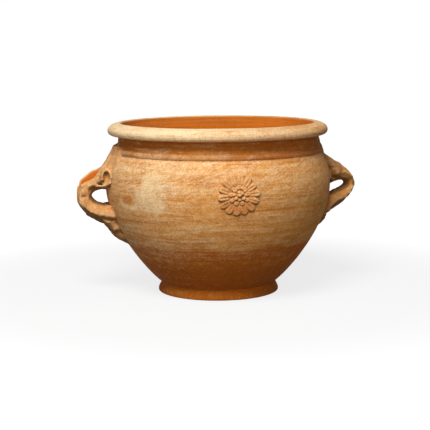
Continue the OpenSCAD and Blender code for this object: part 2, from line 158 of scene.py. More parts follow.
class RosetteSettings(bpy.types.PropertyGroup):
    petals: IntProperty(name="Petals", description="Petals in the outer ring", default=14, min=6)
    leaflets: IntProperty(
        name="Leaflets", description="Leaflets round the middle", default=9, min=4)
    relief: length("Relief", "How far the petals stand out", 5.4)
    softness: IntProperty(
        name="Softness", description="How far the stamp's edges are worn", default=2, min=0)
    seed: IntProperty(name="Seed", description="Seed of the uneven petals", default=4)


class StageSettings(bpy.types.PropertyGroup):
    key_power: FloatProperty(
        name="Key Light", description="Power of the light from above, on the left", default=90,
        unit="POWER")
    fill_power: FloatProperty(
        name="Fill Light", description="Power of the low light from in front", default=22,
        unit="POWER")
    sky: FloatProperty(name="Sky", description="Strength of the even light", default=0.15)


SETTINGS = {
    "planter_pot": PotSettings,
    "planter_clay": ClaySettings,
    "planter_handles": HandleSettings,
    "planter_rosette": RosetteSettings,
    "planter_stage": StageSettings,
}


# Node helpers

class Value:
    """A node's output in a formula. Each sum or product adds a Math node to its tree."""

    def __init__(self, socket):
        self.socket = socket
        self.tree = socket.id_data

    def out(self, name):
        """Another output of the same node."""
        return Value(self.socket.node.outputs[name])

    def __add__(self, other):
        return maths("ADD", self, other)

    def __sub__(self, other):
        return maths("SUBTRACT", self, other)

    def __rsub__(self, other):
        return maths("SUBTRACT", other, self)

    def __mul__(self, other):
        return maths("MULTIPLY", self, other)

    def __truediv__(self, other):
        return maths("DIVIDE", self, other)


def fill(socket, value):
    """Feeds an input with a Value or a plain value, where a colour is opaque. None keeps
    what the input has."""
    if isinstance(value, Value):
        value.tree.links.new(value.socket, socket)
    elif value is not None:
        socket.default_value = (*value, 1) if socket.type == "RGBA" else value


def place(tree, kind, *feeds, by_name=None, **settings):
    """Adds a node, sets its properties, and feeds its inputs in order and by name. Returns
    its first output."""
    node = tree.nodes.new(kind)
    for key, value in settings.items():
        setattr(node, key, value)
    node.location = (190 * (len(tree.nodes) % 14), -230 * (len(tree.nodes) // 14))
    for socket, value in zip([s for s in node.inputs if s.enabled], feeds):
        fill(socket, value)
    for name, value in (by_name or {}).items():
        fill(node.inputs[name], value)
    return Value(next(s for s in node.outputs if s.enabled))


def tree_of(*feeds):
    """The tree that the first Value among some feeds is in."""
    return next(feed.tree for feed in feeds if isinstance(feed, Value))


def maths(operation, *feeds):
    return place(tree_of(*feeds), "ShaderNodeMath", *feeds, operation=operation)


def most(a, b):
    return maths("MAXIMUM", a, b)


def least(a, b):
    return maths("MINIMUM", a, b)


def ramp(value, low, high, to_low=0.0, to_high=1.0, steps="SMOOTHSTEP"):
    """Value taken from low..high to to_low..to_high, held at both ends."""
    return place(value.tree, "ShaderNodeMapRange", value, low, high, to_low, to_high,
                 interpolation_type=steps)


def between(value, start, full, fade, end):
    """1 from full to fade, easing to 0 at start and at end."""
    return ramp(value, start, full) * ramp(value, end, fade)


def vector(operation, *feeds):
    return place(tree_of(*feeds), "ShaderNodeVectorMath", *feeds, operation=operation)


def combine(x, y, z):
    return place(tree_of(x, y, z), "ShaderNodeCombineXYZ", x, y, z)


def split(where):
    """The x, y and z of a vector."""
    node = place(where.tree, "ShaderNodeSeparateXYZ", where).socket.node
    return [Value(socket) for socket in node.outputs]


def noise(where, scale, detail=2.0, rough=0.5, bend=0.0):
    """Plain noise from 0 to 1, about 0.5."""
    return place(where.tree, "ShaderNodeTexNoise", noise_dimensions="3D", by_name={
        "Vector": where, "Scale": scale, "Detail": detail, "Roughness": rough,
        "Distortion": bend})


def mix(factor, a, b, kind="MIX"):
    """Colour a with b laid over it by factor."""
    return place(tree_of(factor, a, b), "ShaderNodeMix", factor, a, b, data_type="RGBA",
                 blend_type=kind, clamp_factor=True)


def shaded(colour, shade):
    """A colour made darker or lighter by a factor."""
    return mix(1.0, colour, combine(shade, shade, shade), "MULTIPLY")


PLAIN_SOCKETS = {float: "NodeSocketFloat", int: "NodeSocketInt", tuple: "NodeSocketColor"}
RESULT_SOCKETS = {"VALUE": "NodeSocketFloat", "RGBA": "NodeSocketColor",
                  "GEOMETRY": "NodeSocketGeometry"}


def new_tree(name, kind, inputs):
    """A node group with its inputs, each given by its default or by its socket's kind.
    Returns the tree and its inputs as Values."""
    tree = bpy.data.node_groups.new(name, kind)
    for label, value in inputs.items():
        plain = PLAIN_SOCKETS.get(type(value))
        made = tree.interface.new_socket(label, in_out="INPUT",
                                         socket_type=plain or "NodeSocket" + value)
        if plain:
            made.default_value = value
    start = tree.nodes.new("NodeGroupInput")
    return tree, {s.name: Value(s) for s in start.outputs if s.name}


def close_tree(tree, results):
    """Gives a node group its outputs."""
    for label, result in results.items():
        tree.interface.new_socket(label, in_out="OUTPUT",
                                  socket_type=RESULT_SOCKETS[result.socket.type])
    end = tree.nodes.new("NodeGroupOutput")
    end.location = (190 * 15, 0)
    for socket, result in zip(end.inputs, results.values()):
        fill(socket, result)
    return tree


def group_in(tree, group, *feeds):
    """Places a shader group, feeds its inputs in order and returns its outputs."""
    node = tree.nodes.new("ShaderNodeGroup")
    node.node_tree = group
    for socket, feed in zip(node.inputs, feeds):
        fill(socket, feed)
    return [Value(socket) for socket in node.outputs]


def empty_tree(owner):
    """The cleared node tree of a material or a world."""
    owner.use_nodes = True
    owner.node_tree.nodes.clear()
    return owner.node_tree


def show(shader, kind="ShaderNodeOutputMaterial"):
    """Ends the tree of a material or a world with its output node."""
    fill(shader.tree.nodes.new(kind).inputs["Surface"], shader)


# Mesh helpers

def object_from(name, mesh, *materials):
    piece = bpy.data.objects.new(name, mesh)
    bpy.context.scene.collection.objects.link(piece)
    for material in materials:
        mesh.materials.append(material)
    return piece


def points_of(mesh):
    """The vertices of a mesh, one to a row."""
    flat = np.empty(len(mesh.vertices) * 3)
    mesh.vertices.foreach_get("co", flat)
    return flat.reshape(-1, 3)


def worked_mesh(name, work):
    """A new mesh with what was worked out, which is then let go."""
    mesh = bpy.data.meshes.new(name)
    work.to_mesh(mesh)
    work.free()
    return mesh


def outward(mesh):
    """A closed mesh with its faces pointing outwards."""
    mesh.calc_loop_triangles()
    corners = np.empty(len(mesh.loop_triangles) * 3, np.int32)
    mesh.loop_triangles.foreach_get("vertices", corners)
    a, b, c = points_of(mesh)[corners.reshape(-1, 3)].transpose(1, 0, 2)
    volume = np.einsum("ij,ij->i", a, np.cross(b, c)).sum() / 6
    if volume < 0:
        mesh.flip_normals()
    return mesh


def grown(name, source, tree, values):
    """Runs a Geometry Nodes tree on an object once and keeps the result as a plain mesh."""
    modifier = source.modifiers.new(tree.name, "NODES")
    modifier.node_group = tree
    sockets = {s.name: s.identifier for s in tree.interface.items_tree
               if s.item_type == "SOCKET" and s.in_out == "INPUT"}
    for label, value in values.items():
        modifier[sockets[label]] = value
    bpy.context.view_layer.update()
    shaped = source.evaluated_get(bpy.context.evaluated_depsgraph_get())
    mesh = bpy.data.meshes.new_from_object(shaped)
    source.modifiers.remove(modifier)
    bpy.data.objects.remove(source)
    mesh.name = name
    return object_from(name, outward(mesh))


def stored(geometry, name, value):
    """Geometry with a number kept on each of its points."""
    return place(geometry.tree, "GeometryNodeStoreNamedAttribute", geometry, None, name, value,
                 data_type="FLOAT", domain="POINT")


def above(value, limit):
    return place(value.tree, "FunctionNodeCompare", value, limit, data_type="FLOAT",
                 operation="GREATER_THAN")


def joined_parts(*parts):
    """Several geometries as one."""
    whole = place(parts[0].tree, "GeometryNodeJoinGeometry")
    for part in parts:
        fill(whole.socket.node.inputs[0], part)
    return whole


def in_clay(geometry, clay):
    """The end of a Geometry Nodes tree: a plain mesh in its material."""
    plain = place(geometry.tree, "GeometryNodeRealizeInstances", geometry)
    return place(geometry.tree, "GeometryNodeSetMaterial", plain, None, clay)


def finished(piece, *nodes):
    """Puts a finished piece on the frame in place of its CAD nodes."""
    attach(piece, "root")
    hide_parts(*nodes)
    return piece


# Profiles, as closed lines of (radius, height) in millimetres

def bezier(a, b, c, d, steps):
    t = np.linspace(0, 1, steps + 1)[:, None]
    a, b, c, d = (np.array(p, float) for p in (a, b, c, d))
    return (1 - t)**3 * a + 3 * t * (1 - t)**2 * b + 3 * t * t * (1 - t) * c + t**3 * d


def joined(*lines):
    """Lines laid end to end, with repeated points dropped."""
    points = np.vstack([np.atleast_2d(np.array(line, float)) for line in lines])
    keep = [0] + [i for i in range(1, len(points))
                  if np.linalg.norm(points[i] - points[i - 1]) > 0.02]
    return points[keep]


def straight(a, b, steps):
    return np.linspace(a, b, steps + 1)


def moved_in(line, depth):
    """A line moved to its left by a depth."""
    run = np.gradient(line, axis=0)
    run /= np.linalg.norm(run, axis=1)[:, None]
    return line + depth * np.stack([-run[:, 1], run[:, 0]], 1)


def belly_outer():
    """The bowl and the shoulder, by the same curves as in the CAD source."""
    start = np.array([WAIST_R + WAIST_STEP, FOOT_H])
    widest = [BELLY_R, BELLY_Z]
    crease = np.array([NECK_BASE_R + 1, CREASE_Z])
    rise = CREASE_Z - BELLY_Z
    leave = start + 0.163 * math.dist(widest, start) * np.array(
        [math.cos(FOOT_LEAN), math.sin(FOOT_LEAN)])
    arrive = crease + 0.3 * rise * np.array([math.cos(SHOULDER_LEAN), -math.sin(SHOULDER_LEAN)])
    bowl = bezier(start, leave, [BELLY_R, BELLY_Z - 0.405 * (BELLY_Z - FOOT_H)], widest, 96)
    shoulder = bezier(widest, [BELLY_R, BELLY_Z + 0.47 * rise], arrive, crease, 34)
    return joined(bowl, shoulder)


def belly_profile():
    outer = belly_outer()
    inner = moved_in(outer, WALL_T)
    inner = inner[(inner[:, 1] > FOOT_H + 6) & (inner[:, 1] < CREASE_Z - 3)][::3]
    foot_in = [WAIST_R + WAIST_STEP - WALL_FOOT_W, FOOT_H]
    return joined(outer, straight(outer[-1], [NECK_IN_R, CREASE_Z], 3), inner[::-1], [foot_in],
                  straight(foot_in, outer[0], 3)[:-1])


def foot_profile():
    worn, worn_h = FOOT_R - 2.4, 2.2
    inner_r = FLOOR_R + SLIP
    ledge_r = inner_r - LEDGE_W
    return joined(
        [[worn, 0]],
        bezier([worn, 0], [FOOT_R - 0.8, 0], [FOOT_R, 0.7], [FOOT_R, worn_h], 5),
        bezier([FOOT_R, worn_h], [FOOT_R + 0.4, FOOT_H * 0.38], [WAIST_R + 2, FOOT_H * 0.6],
               [WAIST_R - 0.3, FOOT_H], 18),
        [[inner_r, FOOT_H], [inner_r, LIP_H], [ledge_r + 1, LIP_H], [ledge_r, LIP_H - 1.2],
         [ledge_r, 1], [ledge_r + 1, 0]])


def floor_profile():
    """The floor, with the soft cove that a thumb ran round where it meets the wall."""
    edge_r = FLOOR_R + 0.1
    cove = bezier([FLOOR_R - 12, FOOT_H - 0.2], [FLOOR_R, FOOT_H], [FLOOR_R + 6, FOOT_H + 3],
                  [FLOOR_R + 14, FOOT_H + 12], 10)
    return joined([[DRAIN_R, LIP_H + 1], [DRAIN_R + 1, LIP_H], [edge_r, LIP_H], [edge_r, FOOT_H],
                   [FLOOR_R + 17, FOOT_H + 11.5]], cove[::-1],
                  straight(cove[0], [DRAIN_R + 2.5, FOOT_H], 14),
                  bezier([DRAIN_R + 2.5, FOOT_H], [DRAIN_R + 1, FOOT_H],
                         [DRAIN_R, FOOT_H - 1], [DRAIN_R, FOOT_H - 2.5], 4))


def neck_profile():
    """The neck and the cordon's bead, which is pressed flatter than a full round."""
    bead_r = (CORDON_TOP_Z - CREASE_Z) / 1.8
    centre = np.array([CORDON_R - bead_r, CREASE_Z + 0.8 * bead_r])
    turn = np.radians(np.linspace(-50, 78, 15))
    bead = centre + bead_r * np.stack([np.cos(turn), np.sin(turn)], 1)
    bead[:, 0] -= 0.35 * np.maximum(bead[:, 0] - NECK_BASE_R, 0)
    outer = bezier([NECK_BASE_R + 0.2, CORDON_TOP_Z + 0.6], [NECK_BASE_R - 3, CORDON_TOP_Z + 5],
                   [NECK_R, CORDON_TOP_Z + 10], [NECK_R, RIM_Z], 20)
    return joined([[NECK_BASE_R - 0.6, CREASE_Z]], bead, outer,
                  straight(outer[-1], [NECK_IN_R, RIM_Z], 3),
                  straight([NECK_IN_R, RIM_Z], [NECK_IN_R, CREASE_Z], 9))


def rim_profile():
    """The rim from its seat by the soffit, nose, crest and throat, and back."""
    seat = [NECK_R, RIM_Z]
    soffit = [RIM_R - 7, RIM_Z + 4.2]
    nose = [RIM_R, RIM_Z + NOSE_UP]
    crest = [CREST_IN_R + CREST_ROUND, POT_H]
    throat = [CREST_IN_R, POT_H - THROAT_H]
    inner_seat = [NECK_IN_R, RIM_Z]
    return joined(
        bezier(seat, [NECK_R + 4, RIM_Z + 3.6], [RIM_R - 12, RIM_Z + 3.4], soffit, 12),
        bezier(soffit, [RIM_R - 2, RIM_Z + 5.2], [RIM_R, nose[1] - 4], nose, 12),
        bezier(nose, [RIM_R, nose[1] + 7], [RIM_R - 8, POT_H - 1.5], crest, 22),
        bezier(crest, [CREST_IN_R + 3, POT_H], [CREST_IN_R + 0.6, POT_H - 2], throat, 10),
        bezier(throat, [CREST_IN_R - 1, POT_H - 13], [NECK_IN_R, RIM_Z + 9], inner_seat, 10),
        straight(inner_seat, seat, 3)[:-1])


# Thrown pieces

def thrown_tree():
    """Geometry Nodes: a closed profile turned round the pot's axis, with the potter's hand in it.

    The unevenness depends only on the place round the pot and the height, so pieces that
    share a seam still share it.
    """
    tree, given = new_tree("Thrown Clay", "GeometryNodeTree", {
        "Profile": "Geometry", "Turn Steps": 480, "Wobble": 0.001, "Ridge Depth": 0.0005,
        "Ridge Spacing": 0.012, "Seed": 0.0, "Outside Clay": "Material"})
    count = place(tree, "GeometryNodeAttributeDomainSize", given["Profile"], component="CURVE")
    grid = place(tree, "GeometryNodeMeshGrid", 1.0, 1.0, given["Turn Steps"] + 1, count + 1)
    where = place(tree, "GeometryNodeInputPosition")
    across, along, _ = split(where)
    turn = (across + 0.5) * (2 * math.pi)
    step = place(tree, "FunctionNodeFloatToInt", maths(
        "MODULO", maths("ROUND", (along + 0.5) * count), count), rounding_mode="ROUND")
    point = place(tree, "GeometryNodeSampleIndex", given["Profile"], where, step,
                  data_type="FLOAT_VECTOR", domain="POINT")
    radius, _, height = split(point)
    sine, cosine = maths("SINE", turn), maths("COSINE", turn)

    def around(size, level):
        """A place on a ring of some size, shifted by the seed, for noise that closes up."""
        return combine(maths("MULTIPLY_ADD", sine, size, given["Seed"]), cosine * size, level)

    wander = noise(around(0.2, height), 4.2, 1.0) - 0.5
    ridge = noise(around(0.35, height / given["Ridge Spacing"]), 1.0, 1.6, 0.55) - 0.5
    push = wander * given["Wobble"] + ridge * given["Ridge Depth"]
    # Never past the frame: the unevenness only takes clay off
    allowance = (given["Wobble"] + given["Ridge Depth"]) * 0.3
    out = radius + least(push - allowance, -0.0002)
    dip = (wander - 0.3) * given["Wobble"] * (height / (POT_H * MM))
    spun = combine(out * sine, out * cosine * -1.0, height + least(dip, 0.0))
    shaped = place(tree, "GeometryNodeSetPosition", grid, None, spun)
    closed = place(tree, "GeometryNodeMergeByDistance", shaped, None, 1e-6)
    # How far a face looks away from the pot's axis, kept for the clean clay inside
    axis = vector("NORMALIZE", vector("MULTIPLY", where, (1.0, 1.0, 0.0)))
    facing = vector("DOT_PRODUCT", place(tree, "GeometryNodeInputNormal"), axis)
    marked = stored(closed, "facing", facing)
    smooth = place(tree, "GeometryNodeSetShadeSmooth", marked, None, True, domain="FACE")
    sharp = above(place(tree, "GeometryNodeInputMeshEdgeAngle"), math.radians(42))
    creased = place(tree, "GeometryNodeSetShadeSmooth", smooth, sharp, False, domain="EDGE")
    return close_tree(tree, {"Pot": in_clay(creased, given["Outside Clay"])})


def thrown(name, tree, profile, material):
    """A piece turned from its profile."""
    pot = bpy.context.scene.planter_pot
    curve = bpy.data.curves.new(name + "_profile", "CURVE")
    curve.dimensions = "3D"
    spline = curve.splines.new("POLY")
    spline.points.add(len(profile) - 1)
    for point, (r, z) in zip(spline.points, profile * MM):
        point.co = (r, 0, z, 1)
    source = bpy.data.objects.new(name + "_profile", curve)
    bpy.context.scene.collection.objects.link(source)
    return grown(name, source, tree, {
        "Turn Steps": pot.turn_steps, "Wobble": pot.wobble, "Ridge Depth": pot.ridge_depth,
        "Ridge Spacing": pot.ridge_spacing, "Seed": pot.seed, "Outside Clay": material})


# The pot's skin

# Height between two levels of the table, in millimetres, and how many levels clay bridges
LEVEL_STEP = 0.5
BRIDGE_ROWS = 28
BRIDGE_SOFT = 11


def skin_table():
    """Outer radius of the thrown wall in millimetres, by turn (rows) and height (columns)."""
    points = []
    for name in ("belly", "neck"):
        mesh = bpy.data.objects[name].data
        facing = np.empty(len(mesh.vertices), np.float32)
        mesh.attributes["facing"].data.foreach_get("value", facing)
        # Only the outer face, and nothing of the bore
        co = points_of(mesh)[facing > -0.1]
        points.append(co[np.hypot(co[:, 0], co[:, 1]) > 0.11] / MM)
    co = np.vstack(points)
    steps = bpy.context.scene.planter_pot.turn_steps
    column = np.rint(np.degrees(np.arctan2(co[:, 0], -co[:, 1])) % 360 / 360 * steps)
    column = column.astype(int) % steps
    heights = np.arange(FOOT_H + 20, RIM_Z + 1, LEVEL_STEP)
    radius = np.hypot(co[:, 0], co[:, 1])
    table = np.empty((steps, len(heights)))
    for i in range(steps):
        here = column == i
        z, r = co[here, 2], radius[here]
        order = np.argsort(z)
        table[i] = np.interp(heights, z[order], r[order])
    return heights, table


class Skin:
    """The outside of the thrown wall, for pieces that are luted on to it."""

    def __init__(self):
        self.heights, self.table = skin_table()
        spread = np.exp(-0.5 * (np.arange(-BRIDGE_ROWS, BRIDGE_ROWS + 1) / BRIDGE_SOFT)**2)
        padded = np.pad(self.table, ((0, 0), (BRIDGE_ROWS, BRIDGE_ROWS)), "edge")
        self.bridged = np.array([np.convolve(row, spread / spread.sum(), "valid")
                                 for row in padded])

    def radius(self, x, y, z, bridged=False):
        """Outer radius beside each point, all in millimetres, or that of clay which bridges
        the cordon and its crease."""
        table = self.bridged if bridged else self.table
        steps = len(table)
        turn = np.arctan2(x, -y) % (2 * np.pi) / (2 * np.pi) * steps
        level = np.clip((z - self.heights[0]) / LEVEL_STEP, 0, len(self.heights) - 1.001)
        i, j = np.floor(turn).astype(int), np.floor(level).astype(int)
        a, b = turn - i, level - j
        i, k = i % steps, (i + 1) % steps
        return ((1 - a) * ((1 - b) * table[i, j] + b * table[i, j + 1])
                + a * ((1 - b) * table[k, j] + b * table[k, j + 1]))


# Modelled clay

def glide(x, low, high):
    t = np.clip((x - low) / (high - low), 0, 1)
    return t * t * (3 - 2 * t)


def blend_in(a, b, soft):
    """Two clay bodies pressed together, with a fillet of the given softness."""
    h = np.maximum(soft - np.abs(a - b), 0) / soft
    return np.minimum(a, b) - h * h * soft / 4


def cut_out(a, b, soft):
    """Body a with b pressed out of it."""
    return -blend_in(-a, b, soft)


def lobe(x, y, z, centre, radii):
    """Rough distance to an ellipsoid."""
    px, py, pz = ((v - c) / r for v, c, r in zip((x, y, z), centre, radii))
    k = np.sqrt(px * px + py * py + pz * pz) + 1e-6
    return (k - 1) * min(radii) * (0.4 + 0.6 * np.minimum(k, 2))


def bar(x, y, z, a, b, thick_a, thick_b):
    """Distance to a tapered round bar from a to b."""
    a, b = np.array(a, float), np.array(b, float)
    run = b - a
    t = ((x - a[0]) * run[0] + (y - a[1]) * run[1] + (z - a[2]) * run[2]) / (run @ run)
    t = np.clip(t, 0, 1)
    away = np.sqrt((x - a[0] - t * run[0])**2 + (y - a[1] - t * run[1])**2
                   + (z - a[2] - t * run[2])**2)
    return away - (thick_a + (thick_b - thick_a) * t)


def finger_marks(x, y, z, size, seed):
    """Soft unevenness from -1 to 1, with lumps of about the given size in millimetres."""
    rng = np.random.default_rng(seed)
    total = np.zeros(np.broadcast(x, y, z).shape)
    for _ in range(14):
        way = rng.normal(size=3)
        way *= rng.uniform(0.6, 1.5) * 2 * np.pi / size / np.linalg.norm(way)
        total = total + np.sin(x * way[0] + y * way[1] + z * way[2] + rng.uniform(0, 6.3))
    return total / 5


def outline(angle, points, centre):
    """Distance from centre to a closed line of (x, z) points, at each angle."""
    points = np.array(points, float) - centre
    turn = np.arctan2(points[:, 1], points[:, 0])
    order = np.argsort(turn)
    turn, reach = turn[order], np.hypot(points[:, 0], points[:, 1])[order]
    fine = np.linspace(-np.pi, np.pi, 181)
    raw = np.interp(fine, turn, reach, period=2 * np.pi)
    kernel = np.exp(-0.5 * (np.arange(-7, 8) / 2.6)**2)
    smooth = np.convolve(np.concatenate([raw[-9:-1], raw, raw[1:9]]), kernel / kernel.sum(),
                         "same")[8:-8]
    return np.interp(angle, fine, smooth)


def surface_of(field, origin, step):
    """Surface where a sampled field is nought, as vertices and quads (naive surface nets)."""
    inside = field < 0
    nx, ny, nz = field.shape
    corners = [(i, j, k) for i in (0, 1) for j in (0, 1) for k in (0, 1)]

    def at(array, offset):
        i, j, k = offset
        return array[i:nx - 1 + i, j:ny - 1 + j, k:nz - 1 + k]

    count = sum(at(inside, c).astype(np.int8) for c in corners)
    cells = np.argwhere((count > 0) & (count < 8))
    index = -np.ones((nx - 1, ny - 1, nz - 1), np.int64)
    index[tuple(cells.T)] = np.arange(len(cells))
    total, hits = np.zeros((len(cells), 3)), np.zeros(len(cells))
    for a in corners:
        for axis in range(3):
            if a[axis]:
                continue
            b = tuple(1 if n == axis else a[n] for n in range(3))
            va = field[tuple((cells + a).T)]
            vb = field[tuple((cells + b).T)]
            cross = (va < 0) != (vb < 0)
            t = np.where(cross, va / np.where(cross, va - vb, 1), 0)
            spot = np.array(a, float) + t[:, None] * (np.array(b) - np.array(a))
            total += spot * cross[:, None]
            hits += cross
    verts = origin + step * (cells + total / hits[:, None])
    quads = []
    for axis in range(3):
        u, v = (axis + 1) % 3, (axis + 2) % 3
        low = [slice(1, -1)] * 3
        low[axis] = slice(0, -1)
        high = list(low)
        high[axis] = slice(1, None)
        start, end = inside[tuple(low)], inside[tuple(high)]
        for enters, flip in ((start & ~end, False), (~start & end, True)):
            spots = np.argwhere(enters)
            shift = np.ones(3, int)
            shift[axis] = 0
            spots += shift
            around = []
            for du, dv in ((0, 0), (-1, 0), (-1, -1), (0, -1)):
                cell = spots.copy()
                cell[:, u] += du
                cell[:, v] += dv
                around.append(index[tuple(cell.T)])
            quad = np.stack(around, 1)
            quads.append(quad[:, ::-1] if flip else quad)
    return verts, np.vstack(quads)


def mesh_from(name, verts, faces):
    mesh = bpy.data.meshes.new(name)
    mesh.vertices.add(len(verts))
    mesh.vertices.foreach_set("co", verts.astype(np.float32).ravel())
    size = faces.shape[1]
    mesh.loops.add(faces.size)
    mesh.loops.foreach_set("vertex_index", faces.astype(np.int32).ravel())
    mesh.polygons.add(len(faces))
    mesh.polygons.foreach_set("loop_start", np.arange(0, faces.size, size, dtype=np.int32))
    mesh.polygons.foreach_set("use_smooth", np.ones(len(faces), bool))
    mesh.update(calc_edges=True)
    mesh.validate()
    return mesh


def relaxed(verts, quads, rounds, share=0.5):
    """Vertices drawn towards their neighbours' mean, to take the steps out of the nets."""
    edges = np.vstack([quads[:, [0, 1]], quads[:, [1, 2]], quads[:, [2, 3]], quads[:, [3, 0]]])
    for k in range(rounds):
        total, count = np.zeros_like(verts), np.zeros(len(verts))
        for a, b in ((0, 1), (1, 0)):
            np.add.at(total, edges[:, a], verts[edges[:, b]])
            np.add.at(count, edges[:, a], 1)
        # Every second round pushes back a little, so that thin edges don't shrink
        verts = verts + (share if k % 2 == 0 else -share * 0.96) * (
            total / count[:, None] - verts)
    return verts


# Lines of the handles, as (distance from the axis, height) in millimetres. Rolls, creases and
# dents are in the handle's own side: (outwards, towards the back, up, radius). A roll or a
# crease ends with its softness, and a dent is a centre, its radii and its softness.
LEFT = {
    "name": "left",
    "side": -1,
    "stain": 0.12,
    "centre": (224.0, 196.0),
    "front": [(232, 247), (237, 237), (246, 230.5), (256, 227), (267, 224), (274, 219),
              (280, 209), (282, 198), (280.5, 187), (275, 176), (262, 167), (246, 163.5),
              (232, 162), (219, 158), (205, 170), (195, 196), (205, 236), (220, 252)],
    "back": [(230, 254), (248, 246), (264, 238), (274, 229), (281, 216), (282.5, 204),
             (282, 188), (275, 171), (262, 156.5), (250, 147), (235, 140), (222, 136),
             (208, 140), (190, 196), (208, 248)],
    "hole": [(254, 197), (250, 202), (240, 207.5), (226, 209), (212, 208), (200, 196),
             (212, 182), (226, 182), (238, 183.5), (249, 191)],
    "channel": 18.0,
    "root_back": [(298, 203), (292, 209), (285, 213.5), (276, 218.5), (268, 223),
                  (260, 228), (250, 236), (240, 242)],
    "root_width": [(222, 40), (238, 62), (256, 66), (272, 62), (285, 54), (299, 40)],
    "drop": 98.0,
    "low_back": [(98, 181), (104, 192), (112, 207), (120, 214), (132, 222), (139, 229)],
    # The skirt of the lower limb is drawn out to a point on the wall, with a broad ridge below
    "rolls": [([(246, -16, 171, 9), (229, -25, 166, 8), (213, -35, 160, 4.5)], 8),
              ([(234, -18, 164, 9), (222, -19, 150, 8.5), (209, -21, 134, 6)], 10)],
    "recess": [],
    # The crease over the thumb's lip was never smoothed, and another lies under the skirt
    "creases": [([(247, 4, 238, 2.8), (232, -18, 255, 2.0)], 2),
                ([(232, -18, 255, 2.0), (221, -40, 262, 1.5)], 1.5),
                ([(243, -24, 157, 2.4), (219, -34, 149, 2.6)], 2)],
    "dents": [((271, -24, 197), (6, 4, 4), 3)],
}
RIGHT = {
    "name": "right",
    "side": 1,
    # Heavier than the left handle's: a damp stain plus painted shade of the side away from the
    # key
    "stain": 0.28,
    "centre": (229.0, 204.0),
    "front": [(226, 266), (236, 259), (249, 251), (262, 242), (273, 231.5), (279.5, 221),
              (282, 210), (279.5, 200), (273, 191), (266, 184), (258, 179), (249, 175.5),
              (234, 170), (222, 164), (208, 172), (196, 205), (206, 246)],
    "back": [(227, 269), (242, 256.5), (255, 248), (267, 239), (276, 230), (282.5, 221),
             (284, 210), (281, 198), (274, 184), (266, 171), (254, 161), (240, 152),
             (227, 147), (206, 158), (190, 205), (204, 250)],
    "hole": [(264, 208), (262, 213), (254, 217), (245, 213), (232, 208), (214, 204),
             (203, 200), (212, 186), (228, 191), (241, 196), (253, 200.5), (261, 203.5)],
    "channel": 9.0,
    "root_back": [(309, 201), (302, 202.5), (294, 205), (285, 209), (276, 215.5), (267, 224),
                  (258, 233), (248, 243)],
    "root_width": [(240, 36), (256, 44), (275, 44), (292, 40), (310, 35)],
    "drop": 86.0,
    "low_back": [(119, 196), (124, 203), (130, 213), (138, 219), (150, 224)],
    # The root's front is a broad slanting face, and a narrow tail runs down the belly
    "rolls": [([(208, -32, 270, 5), (224, -20, 253, 10.5), (242, -19.5, 235.5, 10.5)], 5),
              ([(238, -17, 180, 7), (221, -26, 160, 4.5), (208, -25, 145, 4)], 5)],
    "recess": [(252, -29, 224, 7), (262, -28, 229, 8.5), (272, -26, 220, 7.5),
               (277, -24, 210, 5)],
    "creases": [],
    "dents": [((224, -38, 231), (10, 9, 12), 3)],
}
# The left strap's front roll, which curls up and over where a thumb pressed it home
THUMB_ROLL = [(271, -13, 218, 5.5), (259, -15, 221, 6), (248, -19, 224.5, 6.2),
              (240, -24, 231.5, 5.8), (235, -29, 240, 4.6), (230, -35, 249.5, 4.2),
              (225, -42, 253, 4), (220, -48, 249, 4), (218.5, -52, 239, 4.2),
              (220.5, -49, 228, 3.8), (228, -41, 221, 2.8), (244, -25, 219, 2.2)]
# The block that a handle is modelled in, on its own side. Its foot goes by the handle's drop
BLOCK_LOW = (168.0, -86.0)
BLOCK_HIGH = (288.0, 54.0, RIM_Z + 4)


def strap_field(x, y, z, form):
    """The strap from the outlines of its two edges: with its channel and before it was drawn,
    and the finger hole."""
    cx, cz = form["centre"]
    angle, rho = np.arctan2(z - cz, x - cx), np.hypot(x - cx, z - cz)
    up = glide(angle, -0.3, 0.6) * (1 - glide(angle, 2.0, 2.7))
    half = 22.5 + 2.0 * glide(np.abs(angle), 0.9, 1.5)
    v = np.clip(y / half, -1.15, 1.15)
    # The hole is wider in front, where fingers rounded its upper edge
    flare = 4.5 * (1 + np.sin(angle)) * (1 - glide(v, -1.0, 0.1))
    near = outline(angle, form["hole"], form["centre"]) + flare
    # Above, the strap rises to its back lip; below, the front edge hangs over a dark underside
    share = up * glide(v, -0.75, 0.75) + (1 - up) * glide(v, -0.8, 0.6)
    far = ((1 - share) * outline(angle, form["front"], form["centre"])
           + share * outline(angle, form["back"], form["centre"]))
    middle, thick = (near + far) / 2, (far - near) / 2
    # The front face looks down above the hole and up below it
    half = half * (0.74 + 0.26 * glide((rho - near) / (far - near), 0.0, 0.8))
    # A round roll along the front of the upper limb, a thin lip behind, and crisp edges below
    power = 6.0 + (2.3 + 3.7 * glide(v, 0.0, 0.5) - 6.0) * up
    e = (np.abs(y / half)**power + np.abs((rho - middle) / thick)**power)**(1 / power) - 1
    plain = e * np.minimum(half, thick) * 0.92
    groove = form["channel"] * (0.15 + 0.85 * up) * np.exp(-((v - 0.3) / 0.36)**4)
    drawn = 0.35 * np.sin(9 * v + 0.05 * rho) + 0.2 * np.sin(21 * v + 0.11 * rho)
    body = plain + np.where(rho > middle, groove, 0) * glide((rho - middle) / thick, 0.2, 0.9)
    body = body + drawn * glide(np.abs(rho - middle) / thick, 0.3, 0.9)
    return body, plain, rho - near


